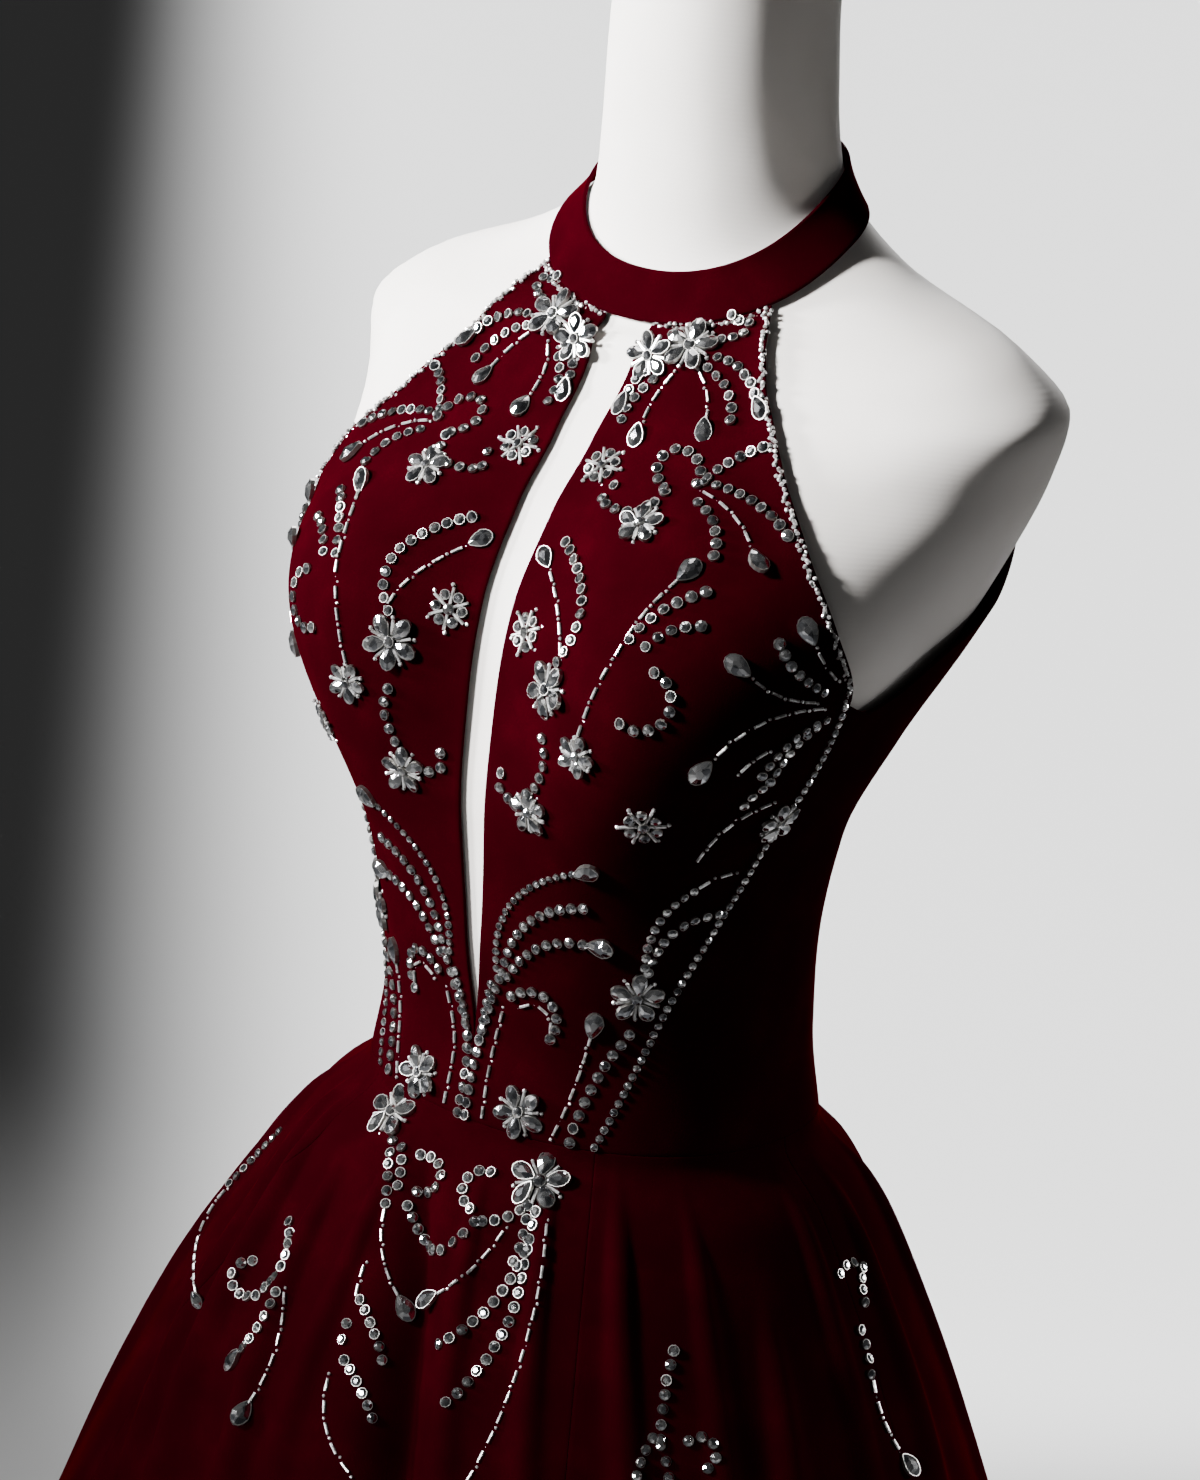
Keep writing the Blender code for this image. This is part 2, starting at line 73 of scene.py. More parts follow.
# Heights of the seams
WAIST = 1.050
BAND_LOW = 1.447
BAND_HIGH = 1.469
HEM = 0.012

# The figure, as level rings that lean forward towards the neck
Ring = namedtuple("Ring", "height half_width front back centre lean")
FIGURE = [
    Ring(0.905, 0.140, 0.098, 0.106, 0.010, 0),
    Ring(0.960, 0.138, 0.104, 0.108, 0.009, 0),
    Ring(1.010, 0.117, 0.101, 0.096, 0.007, 0),
    Ring(1.050, 0.105, 0.097, 0.087, 0.004, 0),
    Ring(1.090, 0.100, 0.090, 0.081, 0.000, 0),
    Ring(1.140, 0.101, 0.093, 0.077, -0.005, 0),
    Ring(1.190, 0.107, 0.097, 0.079, -0.006, 0),
    Ring(1.240, 0.124, 0.101, 0.087, 0.001, 0),
    Ring(1.290, 0.147, 0.103, 0.096, 0.009, 0),
    Ring(1.330, 0.163, 0.098, 0.100, 0.018, 1),
    Ring(1.365, 0.176, 0.086, 0.094, 0.024, 5),
    Ring(1.390, 0.183, 0.075, 0.081, 0.024, 11),
    Ring(1.410, 0.160, 0.066, 0.069, 0.021, 17),
    Ring(1.430, 0.104, 0.063, 0.058, 0.017, 28),
    Ring(1.447, 0.074, 0.063, 0.053, 0.017, 39),
    Ring(1.469, 0.058, 0.057, 0.050, 0.018, 44),
    Ring(1.500, 0.052, 0.052, 0.049, 0.016, 30),
    Ring(1.545, 0.0485, 0.049, 0.049, 0.012, 10),
    Ring(1.585, 0.047, 0.048, 0.048, 0.011, 5),
]
SQUARENESS = 2.15
BACK_LEAN_LOSS = 0.35
LEAN_BLEND = 0.030
FORM_FOOT = FIGURE[0].height
FORM_TOP = FIGURE[-1].height
FORM_COLUMNS = 150
FORM_ROWS = 190
FORM_EDGE = 0.006
FORM_EDGE_STEPS = 5

# The two cups of the bust
CUP_HEIGHT = 1.270
CUP_ANGLE = 38.5
CUP_DEPTH = 0.044
CUP_INNER_SPREAD = 26.0
CUP_OUTER_SPREAD = 32.0
CUP_UPPER_SPREAD = 0.073
CUP_LOWER_SPREAD = 0.080

# The front panel's cut, row by row from the waist: the keyhole's edge, and the slanting seam and armhole
Cut = namedtuple("Cut", "slit_height slit_half_width outer_height outer_angle")
FRONT_CUT = [
    Cut(1.050, 0.0000, 1.050, 37.5),
    Cut(1.086, 0.0000, 1.082, 46.0),
    Cut(1.125, 0.0032, 1.120, 54.5),
    Cut(1.165, 0.0056, 1.160, 63.5),
    Cut(1.205, 0.0072, 1.197, 69.5),
    Cut(1.245, 0.0078, 1.235, 71.5),
    Cut(1.285, 0.0084, 1.272, 70.0),
    Cut(1.315, 0.0092, 1.305, 62.5),
    Cut(1.345, 0.0098, 1.335, 57.0),
    Cut(1.375, 0.0104, 1.367, 53.5),
    Cut(1.405, 0.0112, 1.400, 52.5),
    Cut(1.427, 0.0120, 1.425, 54.0),
    Cut(1.447, 0.0125, 1.447, 57.0),
]
SEAM_CUTS = 6
SEAM_SHARE = SEAM_CUTS / (len(FRONT_CUT) - 1)
FRONT_COLUMNS = 48
FRONT_ROWS = 120
EDGE_LIFT = 0.0018
EDGE_LIFT_WIDTH = 0.010
EDGE_LIFT_START = 0.08
EDGE_LIFT_END = 0.05

# The back panel's upper edge, from the underarm corner to the centre back, over where it starts at the waist
Edge = namedtuple("Edge", "waist_angle top_angle top_height")
BACK_CUT = [
    Edge(37.5, 70.0, 1.272),
    Edge(47.0, 75.0, 1.268),
    Edge(58.0, 81.0, 1.275),
    Edge(70.0, 88.0, 1.291),
    Edge(82.0, 96.0, 1.302),
    Edge(95.0, 105.0, 1.312),
    Edge(108.0, 115.0, 1.335),
    Edge(121.0, 126.0, 1.372),
    Edge(134.0, 137.0, 1.414),
    Edge(147.0, 147.0, 1.447),
    Edge(158.0, 158.0, 1.447),
    Edge(169.0, 169.0, 1.447),
    Edge(180.0, 180.0, 1.447),
]
BACK_COLUMNS = 70
BACK_ROWS = 90
BLADE_EASE = 0.0032
BLADE_EASE_REACH = 0.25
BLADE_EASE_RISE = 1.5
LEVELLED = 0.008

# The skirt: rings down to the hem, then the folds, each a ridge or, where its depth is negative, a trough
SKIRT = [
    Ring(1.050, 0.105, 0.097, 0.087, 0.004, 0),
    Ring(1.044, 0.106, 0.098, 0.088, 0.004, 0),
    Ring(1.020, 0.129, 0.117, 0.108, 0.004, 0),
    Ring(0.980, 0.155, 0.141, 0.125, 0.004, 0),
    Ring(0.930, 0.183, 0.171, 0.141, 0.004, 0),
    Ring(0.870, 0.209, 0.199, 0.165, 0.004, 0),
    Ring(0.800, 0.236, 0.229, 0.197, 0.004, 0),
    Ring(0.600, 0.312, 0.306, 0.284, 0.004, 0),
    Ring(0.400, 0.389, 0.384, 0.363, 0.004, 0),
    Ring(0.200, 0.460, 0.456, 0.438, 0.004, 0),
    Ring(HEM, 0.520, 0.516, 0.502, 0.004, 0),
]
Fold = namedtuple("Fold", "angle depth spread start")
FOLDS = [
    Fold(-165, -0.026, 7.5, 0.92),
    Fold(-148, 0.034, 8.0, 0.97),
    Fold(-129, -0.028, 8.5, 0.90),
    Fold(-110, 0.030, 9.0, 0.95),
    Fold(-91, -0.026, 8.0, 0.93),
    Fold(-73, 0.032, 8.0, 0.98),
    Fold(-56, -0.022, 7.0, 0.92),
    Fold(-41, 0.026, 7.0, 1.00),
    Fold(-27, -0.020, 6.0, 0.95),
    Fold(-13, 0.022, 6.5, 1.00),
    Fold(2, 0.018, 6.0, 0.96),
    Fold(34, 0.032, 8.0, 0.99),
    Fold(53, -0.026, 8.5, 0.93),
    Fold(72, 0.030, 8.5, 0.98),
    Fold(91, -0.024, 8.0, 0.91),
    Fold(109, 0.032, 8.5, 0.96),
    Fold(128, -0.028, 8.0, 0.90),
    Fold(146, 0.030, 8.0, 0.95),
    Fold(163, -0.022, 7.0, 0.92),
    Fold(180, 0.026, 7.5, 0.97),
]
FOLD_GROWTH = 1.25
PLEAT = Fold(18, -0.070, 4.5, 1.030)
PLEAT_GROWTH = 0.55
PLEAT_SWING = 23.0
PLEAT_SWING_FALL = 0.080
Gore = namedtuple("Gore", "name first last columns flat area")
GORES = [
    Gore("skirt_front", -37.5, 37.5, 125, (0.78, 1.14), 0.538),
    Gore("skirt_side_front_left", 37.5, 90.0, 80, (0.52, 1.14), 0.358),
    Gore("skirt_side_front_right", -90.0, -37.5, 80, (0.52, 1.14), 0.358),
    Gore("skirt_side_back_left", 90.0, 140.0, 76, (0.485, 1.135), 0.333),
    Gore("skirt_side_back_right", -140.0, -90.0, 76, (0.485, 1.135), 0.333),
    Gore("skirt_back_left", 140.0, 180.0, 62, (0.39, 1.135), 0.257),
    Gore("skirt_back_right", -180.0, -140.0, 62, (0.39, 1.135), 0.257),
]
SKIRT_ROWS = 130
SKIRT_ROW_GATHER = 1.5
SKIRT_LEVELLED = 0.004

# The fine creases that hang from the waist seam: a soft ridge from its top to its foot
Crease = namedtuple("Crease", "top_angle top low_angle low depth spread")
CREASES = [
    Crease(-48, 1.036, -35, 0.900, 0.0052, 1.2),
    Crease(-41, 1.030, -24, 0.860, 0.0061, 1.3),
    Crease(-38, 1.012, -26, 0.905, 0.0042, 1.1),
    Crease(-25, 1.010, -8, 0.860, 0.0071, 1.5),
    Crease(-12, 1.030, -5, 0.900, 0.0037, 1.3),
    Crease(12, 1.030, 22, 0.900, 0.0042, 1.4),
    Crease(28, 1.036, 33, 0.890, 0.0047, 1.3),
    Crease(43, 1.034, 47, 0.880, 0.0052, 1.5),
    Crease(58, 1.030, 60, 0.900, 0.0042, 1.3),
    Crease(70, 0.990, 68, 0.850, 0.0061, 1.7),
    Crease(84, 1.034, 82, 0.880, 0.0047, 1.5),
    Crease(99, 1.030, 97, 0.900, 0.0052, 1.5),
    Crease(117, 1.034, 119, 0.870, 0.0057, 1.6),
    Crease(138, 1.030, 137, 0.900, 0.0047, 1.4),
    Crease(156, 1.034, 157, 0.880, 0.0052, 1.5),
    Crease(172, 1.020, 171, 0.900, 0.0037, 1.3),
    Crease(-62, 1.034, -58, 0.880, 0.0052, 1.5),
    Crease(-80, 1.030, -79, 0.900, 0.0047, 1.5),
    Crease(-101, 1.034, -103, 0.870, 0.0057, 1.6),
    Crease(-120, 1.030, -119, 0.900, 0.0047, 1.4),
    Crease(-140, 1.034, -142, 0.880, 0.0052, 1.5),
    Crease(-158, 1.030, -156, 0.900, 0.0047, 1.4),
    Crease(-173, 1.020, -174, 0.880, 0.0037, 1.3),
]
CREASE_FADE = 0.045
CREASE_START_STEEPNESS = 8
CREASE_START_DELAY = 2
CREASE_END_STEEPNESS = 2
CREASE_TAIL = 0.06
CREASE_WIDENING = 0.8
CREASE_WIDEST = 1.5

# The neckband
BAND_COLUMNS = 240
BAND_ROWS = 14
BAND_EASE = 0.0015
BAND_CLOTH = 0.0020

# Covered buttons down the centre back, and their loops
BUTTON_NODES = (
    [f"neckband_button_{number}" for number in (1, 2)]
    + [f"bodice_button_{number:02d}" for number in range(1, 11)]
    + [f"skirt_button_{number}" for number in (1, 2, 3)]
)
BUTTON_RADIUS = 0.0055
BUTTON_THICKNESS = 0.0034
BUTTON_PROFILE = [
    (0.0, 1.00), (0.28, 0.985), (0.55, 0.92), (0.78, 0.80), (0.93, 0.66),
    (1.0, 0.52), (0.97, 0.42), (0.80, 0.36), (0.68, 0.30), (0.66, 0.0), (0.0, 0.0),
]
BUTTON_STEPS = 24
BAND_BUTTON_SHARES = {"1": 0.25, "2": 0.75}
LOOP_CORD = 0.0008
LOOP_RADIUS = 0.0050
LOOP_REACH = 0.0070
LOOP_LIFT = 1.1
LOOP_SIDES = 8
LOOP_BENDS = 10

# The stand
BASE_RADIUS = 0.190
BASE_HEIGHT = 0.014
BASE_CENTRE_RISE = 0.006
BASE_ROUNDING = 0.004
BASE_CROWN_RADIUS = 0.050
POLE_RADIUS = 0.016
COLLAR_RADIUS = 0.034
COLLAR_HEIGHT = 0.040
FLANGE_RADIUS = 0.055
FLANGE_HEIGHT = 0.008
STAND_BEVEL = 0.0006
BASE_STEPS = 96
POLE_STEPS = 64
TURNED_RIM_RADIANS = 0.4

# The photograph's view. Its frame is 1200 pixels wide and 1480 high.
PHOTO_WIDTH = 1200
PHOTO_HEIGHT = 1480
FOCAL_PIXELS = 3480
SENSOR_MM = 36.0
VIEW_AZIMUTH = 35.8
VIEW_PAN = 0.497
VIEW_TILT = 16.06
VIEW_ROLL = 6.14
VIEW_HEIGHT = 1.650
VIEW_DISTANCE = 1.53
VIEW_REACH = 100.0

# How far to each side, in metres and in radians, a surface is sampled for its normals
STEP = 1e-4


class Curve:
    """A smooth line through a table's values that never swings past them."""

    def __init__(self, places, values):
        order = np.argsort(places)
        self.x = np.array(places, float)[order]
        self.y = np.array(values, float)[order]
        rises = np.diff(self.y) / np.diff(self.x)
        before, after = rises[:-1], rises[1:]
        same_way = before * after > 0
        total = np.where(same_way, before + after, 1.0)
        inner = np.where(same_way, 2 * before * after / total, 0.0)
        self.slopes = np.concatenate([rises[:1], inner, rises[-1:]])

    def __call__(self, place):
        place = np.clip(place, self.x[0], self.x[-1])
        low = np.clip(np.searchsorted(self.x, place, side="right") - 1, 0, len(self.x) - 2)
        gap = self.x[low + 1] - self.x[low]
        t = (place - self.x[low]) / gap
        start = (1 + 2 * t) * (1 - t) ** 2 * self.y[low]
        end = t * t * (3 - 2 * t) * self.y[low + 1]
        turn = t * (1 - t) ** 2 * self.slopes[low] - t * t * (1 - t) * self.slopes[low + 1]
        return start + end + turn * gap


def curves_of(rings):
    """One curve over height for each of the rings' other columns."""
    heights = [ring.height for ring in rings]
    return {name: Curve(heights, [getattr(ring, name) for ring in rings]) for name in Ring._fields[1:]}


FIGURE_CURVES = curves_of(FIGURE)
SKIRT_CURVES = curves_of(SKIRT)


def turned(angle):
    """The angle brought between -180 and 180 degrees."""
    return (angle + 180.0) % 360.0 - 180.0


def oval(curves, angle, height):
    """The radius of the plain ring at this height, in this direction."""
    side = np.abs(np.sin(np.radians(angle))) / curves["half_width"](height)
    ahead = np.cos(np.radians(angle))
    depth = np.where(ahead > 0, curves["front"](height), curves["back"](height))
    return (side**SQUARENESS + (np.abs(ahead) / depth) ** SQUARENESS) ** (-1 / SQUARENESS)


def placed(curves, angle, height, radius):
    """The points at this radius on a ring. The ring leans forward, and less so towards the back."""
    across = radius * np.sin(np.radians(angle))
    ahead = radius * np.cos(np.radians(angle))
    backness = 0.5 - 0.5 * np.tanh(ahead / LEAN_BLEND)
    lean = np.radians(curves["lean"](height) * (1 - BACK_LEAN_LOSS * backness))
    back = curves["centre"](height) - ahead * np.cos(lean)
    return np.stack([across, back, height - ahead * np.sin(lean)], axis=-1)


def cup(angle, height):
    """How far the two cups of the bust raise the figure here."""
    spread = np.where(height > CUP_HEIGHT, CUP_UPPER_SPREAD, CUP_LOWER_SPREAD)
    upright = np.exp(-(((height - CUP_HEIGHT) / spread) ** 2))
    across = 0.0
    for side in (1, -1):
        away = side * turned(angle) - CUP_ANGLE
        across = across + np.exp(-((away / np.where(away > 0, CUP_OUTER_SPREAD, CUP_INNER_SPREAD)) ** 2))
    return CUP_DEPTH * across * upright


def on_figure(angle, height):
    """The points of the dress form's surface in these directions, on the rings of these heights."""
    return placed(FIGURE_CURVES, angle, height, oval(FIGURE_CURVES, angle, height) + cup(angle, height))


def folded(angle, height):
    """How far the skirt's folds move it outwards here."""
    moved = 0.0
    for fold in [*FOLDS, PLEAT]:
        fall = np.maximum(fold.start - height, 0.0)
        pleat = fold is PLEAT
        swung = PLEAT_SWING * np.exp(-fall / PLEAT_SWING_FALL) if pleat else 0.0
        away = turned(angle - fold.angle + swung) / fold.spread
        share = (fall / (fold.start - HEM)) ** (PLEAT_GROWTH if pleat else FOLD_GROWTH)
        moved = moved + fold.depth * share * np.exp(-(away**2))
    return moved


def creased(angle, height):
    """How far the fine creases raise the skirt here."""
    raised = 0.0
    for crease in CREASES:
        share = (crease.top - height) / (crease.top - crease.low)
        middle = crease.top_angle + (crease.low_angle - crease.top_angle) * share
        spread = crease.spread * (1 + CREASE_WIDENING * np.clip(share, 0, CREASE_WIDEST))
        away = turned(angle - middle) / spread
        start = -(crease.top - height) / CREASE_FADE * CREASE_START_STEEPNESS + CREASE_START_DELAY
        end = (crease.low - CREASE_TAIL - height) / CREASE_FADE * CREASE_END_STEEPNESS
        begun = 1 / (1 + np.exp(start))
        gone = 1 / (1 + np.exp(end))
        raised = raised + crease.depth * begun * gone * np.exp(-(away**2))
    return raised


def on_skirt(angle, height):
    """The points of the skirt's inner side before its ease."""
    radius = oval(SKIRT_CURVES, angle, height) + folded(angle, height) + creased(angle, height)
    return placed(SKIRT_CURVES, angle, height, radius)


def unit(vectors):
    """The vectors brought to a length of one."""
    return vectors / np.linalg.norm(vectors, axis=-1, keepdims=True)


def outward(surface, angle, height):
    """The unit normals of a surface, pointing away from the figure."""
    turn = math.degrees(STEP)
    around = surface(angle + turn, height) - surface(angle - turn, height)
    upward = surface(angle, height + STEP) - surface(angle, height - STEP)
    return unit(np.cross(around, upward))


def skirt_outward(angle, height):
    """The skirt's normals, level along the waist seam so that the wall starts square under the bodice."""
    normal = outward(on_skirt, angle, height)
    level = np.clip((height - (WAIST - SKIRT_LEVELLED)) / SKIRT_LEVELLED, 0.0, 1.0)
    normal[..., 2] *= 1.0 - level
    return unit(normal)


# Meshes

def piece_of(name, bm, materials):
    """A smooth object of this mesh that rides on the part's one body."""
    mesh = bpy.data.meshes.new(name)
    bm.to_mesh(mesh)
    bm.free()
    for material in materials:
        mesh.materials.append(material)
    mesh.shade_smooth()
    piece = bpy.data.objects.new(name, mesh)
    bpy.context.scene.collection.objects.link(piece)
    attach(piece, "root")
    return piece


def drawn_in(share, size):
    """Shares from 0 to 1 drawn in by half a seam gap at both ends of a piece of about this size."""
    gap = SEAM_GAP / 2 / size
    return gap + share * (1 - 2 * gap)


def picked(geometry, kind):
    """The vertices, edges or faces among what a mesh operator gives back."""
    return [item for item in geometry if isinstance(item, kind)]


def cloth_shell(name, columns, rows, lay, thickness=CLOTH, rounding=EDGE_ROUNDING):
    """One cut piece of velvet with softly rounded edges. lay(u, v) gives its inner side and the ways out."""
    bm = bmesh.new()
    bmesh.ops.create_grid(bm, x_segments=columns, y_segments=rows, size=0.5)
    shares = np.array([(vert.co.x + 0.5, vert.co.y + 0.5) for vert in bm.verts])
    points, ways = lay(shares[:, 0], shares[:, 1])
    way_out = bm.verts.layers.float_vector.new("way_out")
    for vert, point, way in zip(bm.verts, points, ways):
        vert.co = point
        vert[way_out] = way
    raised = bmesh.ops.extrude_face_region(bm, geom=bm.faces[:], use_keep_orig=True)
    for vert in picked(raised["geom"], bmesh.types.BMVert):
        vert.co += vert[way_out] * thickness
    bmesh.ops.recalc_face_normals(bm, faces=bm.faces)
    rims = [edge for edge in bm.edges if edge.calc_face_angle(0.0) > RIM_RADIANS]
    bmesh.ops.bevel(bm, geom=rims, offset=rounding, segments=2, profile=0.5, affect="EDGES", material=-1)
    return piece_of(name, bm, [VELVET])


def spun(profile, steps, bevel=0.0):
    """A mesh turned round the upright axis from a profile of radius and height."""
    bm = bmesh.new()
    verts = [bm.verts.new((radius, 0.0, height)) for radius, height in profile]
    edges = [bm.edges.new(pair) for pair in zip(verts, verts[1:])]
    bmesh.ops.spin(
        bm, geom=verts + edges, axis=(0, 0, 1), cent=(0, 0, 0), angle=math.tau, steps=steps, use_merge=True
    )
    bmesh.ops.remove_doubles(bm, verts=bm.verts, dist=WELD)
    bmesh.ops.recalc_face_normals(bm, faces=bm.faces)
    if bevel:
        rims = [edge for edge in bm.edges if edge.calc_face_angle(0.0) > TURNED_RIM_RADIANS]
        bmesh.ops.bevel(bm, geom=rims, offset=bevel, segments=3, profile=0.5, affect="EDGES", material=-1)
    return bm


# Materials

def linear(code):
    """An sRGB hex colour as linear red, green, blue and alpha."""
    values = [int(code[i : i + 2], 16) / 255 for i in (1, 3, 5)]
    return (*(v / 12.92 if v <= 0.04045 else ((v + 0.055) / 1.055) ** 2.4 for v in values), 1.0)


def new_material(name):
    """An empty material with its Principled shader, and that shader."""
    material = bpy.data.materials.new(name)
    material.use_nodes = True
    return material, material.node_tree.nodes["Principled BSDF"]


def add(material, kind, settings=None, inputs=None, stops=()):
    """Adds a node with its settings, its inputs (values or other nodes' outputs) and its colour stops."""
    made = material.node_tree.nodes.new(kind)
    for name, value in (settings or {}).items():
        setattr(made, name, value)
    fill(material, made, inputs or {})
    if stops:
        elements = made.color_ramp.elements
        while len(elements) < len(stops):
            elements.new(0.5)
        for element, (place, code) in zip(elements, stops):
            element.position = place
            element.color = linear(code)
    return made


def fill(material, node, inputs):
    """Sets a node's inputs, or links them where the value is another node's output."""
    for name, value in inputs.items():
        if isinstance(value, bpy.types.NodeSocket):
            material.node_tree.links.new(value, node.inputs[name])
        else:
            node.inputs[name].default_value = value


def mm(size):
    """The noise or cell scale that repeats about every so many millimetres."""
    return 1000.0 / size


def silk_velvet(name):
    """Silk-look velvet with a cut pile: dark wine red, with a crimson sheen where it is seen aslant."""
    material, shader = new_material(name)
    where = add(material, "ShaderNodeTexCoord").outputs["Object"]
    # The pile leans in soft patches about 25 mm wide, and its tufts show as a grain near 0.7 mm
    lean = add(material, "ShaderNodeTexNoise", inputs={"Vector": where, "Scale": mm(25), "Detail": 3.0})
    tufts = add(material, "ShaderNodeTexNoise", inputs={"Vector": where, "Scale": mm(0.7), "Detail": 2.0})
    shade = add(
        material,
        "ShaderNodeMath",
        {"operation": "MULTIPLY_ADD"},
        {0: tufts.outputs["Fac"], 1: 0.45, 2: lean.outputs["Fac"]},
    )
    colour = add(
        material,
        "ShaderNodeValToRGB",
        inputs={"Fac": shade.outputs[0]},
        stops=[(0.35, "#1c0003"), (0.75, "#220004"), (1.0, "#290005")],
    )
    bump = add(
        material,
        "ShaderNodeBump",
        inputs={"Height": tufts.outputs["Fac"], "Strength": 0.25, "Distance": 0.0004},
    )
    fill(
        material,
        shader,
        {
            "Base Color": colour.outputs["Color"],
            "Roughness": 0.75,
            "Specular IOR Level": 0.0,
            "Sheen Weight": 0.15,
            "Sheen Roughness": 0.22,
            "Sheen Tint": linear("#bc0a14"),
            "Normal": bump.outputs["Normal"],
        },
    )
    return material


def knitted_jersey(name):
    """Cotton jersey pulled tight over foam: matt white, with faint ribs of stitches."""
    material, shader = new_material(name)
    where = add(material, "ShaderNodeTexCoord").outputs["Object"]
    # Bands repeat every 0.314 units of scaled length, so the ribs are about 2.2 mm apart: coarser than real
    # stitches, which are too fine to show, and still faint in the photograph's view
    ribs = add(
        material,
        "ShaderNodeTexWave",
        {"wave_type": "BANDS", "bands_direction": "Z"},
        {"Vector": where, "Scale": mm(1.1) / 6.283, "Distortion": 0.6, "Detail": 2.0},
    )
    soft = add(material, "ShaderNodeTexNoise", inputs={"Vector": where, "Scale": mm(60), "Detail": 3.0})
    colour = add(
        material,
        "ShaderNodeValToRGB",
        inputs={"Fac": soft.outputs["Fac"]},
        stops=[(0.3, "#efe9e3"), (0.7, "#faf5f0")],
    )
    bump = add(
        material,
        "ShaderNodeBump",
        inputs={"Height": ribs.outputs["Fac"], "Strength": 0.05, "Distance": 0.0003},
    )
    fill(
        material,
        shader,
        {
            "Base Color": colour.outputs["Color"],
            "Roughness": 0.72,
            "Specular IOR Level": 0.35,
            "Sheen Weight": 0.15,
            "Normal": bump.outputs["Normal"],
        },
    )
    return material


def brushed_steel(name):
    """Satin steel: grey, with fine turning lines that are a little rougher or smoother."""
    material, shader = new_material(name)
    where = add(material, "ShaderNodeTexCoord").outputs["Object"]
    squeezed = add(material, "ShaderNodeMapping", inputs={"Vector": where, "Scale": (1.0, 1.0, 24.0)})
    lines = add(
        material,
        "ShaderNodeTexNoise",
        inputs={"Vector": squeezed.outputs["Vector"], "Scale": mm(12), "Detail": 4.0},
    )
    rough = add(
        material,
        "ShaderNodeMapRange",
        inputs={"Value": lines.outputs["Fac"], "To Min": 0.24, "To Max": 0.42},
    )
    fill(
        material,
        shader,
        {"Base Color": linear("#b9babd"), "Metallic": 1.0, "Roughness": rough.outputs["Result"]},
    )
    return material


def foiled_glass(name):
    """Cut glass with a mirror foil behind it: mirror-bright facets, from mid grey to white."""
    material, shader = new_material(name)
    where = add(material, "ShaderNodeTexCoord").outputs["Object"]
    # Cells of about 3 mm, smaller than a stone, so that its facets differ in brightness
    cells = add(material, "ShaderNodeTexVoronoi", inputs={"Vector": where, "Scale": mm(3.0)})
    level = add(material, "ShaderNodeSeparateColor", inputs={"Color": cells.outputs["Color"]})
    colour = add(
        material,
        "ShaderNodeValToRGB",
        inputs={"Fac": level.outputs["Red"]},
        stops=[(0.1, "#84868c"), (0.5, "#d0d2d6"), (0.8, "#ffffff")],
    )
    fill(material, shader, {"Base Color": colour.outputs["Color"], "Metallic": 0.98, "Roughness": 0.10})
    return material


def silver_cup(name):
    """Rhodium-plated brass cups, stamped and polished: bright, a little softened by wear."""
    material, shader = new_material(name)
    where = add(material, "ShaderNodeTexCoord").outputs["Object"]
    wear = add(material, "ShaderNodeTexNoise", inputs={"Vector": where, "Scale": mm(4), "Detail": 3.0})
    rough = add(
        material,
        "ShaderNodeMapRange",
        inputs={"Value": wear.outputs["Fac"], "To Min": 0.26, "To Max": 0.42},
    )
    fill(
        material,
        shader,
        {"Base Color": linear("#a8a6a2"), "Metallic": 1.0, "Roughness": rough.outputs["Result"]},
    )
    return material


def silvered_glass(name):
    """Silver-lined glass beads and bugles: small and bright, with a soft silvery shine."""
    material, shader = new_material(name)
    where = add(material, "ShaderNodeTexCoord").outputs["Object"]
    # Cells of about 2 mm, so that each bead differs a little from the next
    cells = add(material, "ShaderNodeTexVoronoi", inputs={"Vector": where, "Scale": mm(2.2)})
    level = add(material, "ShaderNodeSeparateColor", inputs={"Color": cells.outputs["Color"]})
    colour = add(
        material,
        "ShaderNodeValToRGB",
        inputs={"Fac": level.outputs["Green"]},
        stops=[(0.1, "#a8a6a4"), (0.8, "#ffffff")],
    )
    fill(material, shader, {"Base Color": colour.outputs["Color"], "Metallic": 0.78, "Roughness": 0.28})
    return material


VELVET = silk_velvet("silk_velvet")
BUTTON_VELVET = silk_velvet("velvet_covered_button")
JERSEY = knitted_jersey("knitted_jersey")
STEEL = brushed_steel("brushed_steel_stand")
FOILED_GLASS = foiled_glass("foiled_cut_glass")
SILVER_CUP = silver_cup("silver_cup")
SILVERED_GLASS = silvered_glass("silvered_glass_bead")


# The gown's panels

def column_curve(rows, column):
    """A curve over a table's rows, from 0 at the first to 1 at the last."""
    return Curve(np.linspace(0, 1, len(rows)), [getattr(row, column) for row in rows])


SLIT_HEIGHT = column_curve(FRONT_CUT, "slit_height")
SLIT_HALF_WIDTH = column_curve(FRONT_CUT, "slit_half_width")
OUTER_HEIGHT = column_curve(FRONT_CUT, "outer_height")
OUTER_ANGLE = column_curve(FRONT_CUT, "outer_angle")
WAIST_ANGLE = column_curve(BACK_CUT, "waist_angle")
TOP_ANGLE = column_curve(BACK_CUT, "top_angle")
TOP_HEIGHT = column_curve(BACK_CUT, "top_height")


def slit_edge(v):
    """The keyhole's edge as angle and height."""
    height = SLIT_HEIGHT(v)
    front = oval(FIGURE_CURVES, 0.0 * height, height) + cup(0.0 * height, height)
    return np.degrees(np.arcsin(SLIT_HALF_WIDTH(v) / front)), height


def front_place(u, v):
    """Angle and height on the left front panel, from the keyhole's edge to the slanting seam and armhole."""
    slit_angle, slit_height = slit_edge(v)
    return slit_angle * (1 - u) + OUTER_ANGLE(v) * u, slit_height * (1 - u) + OUTER_HEIGHT(v) * u


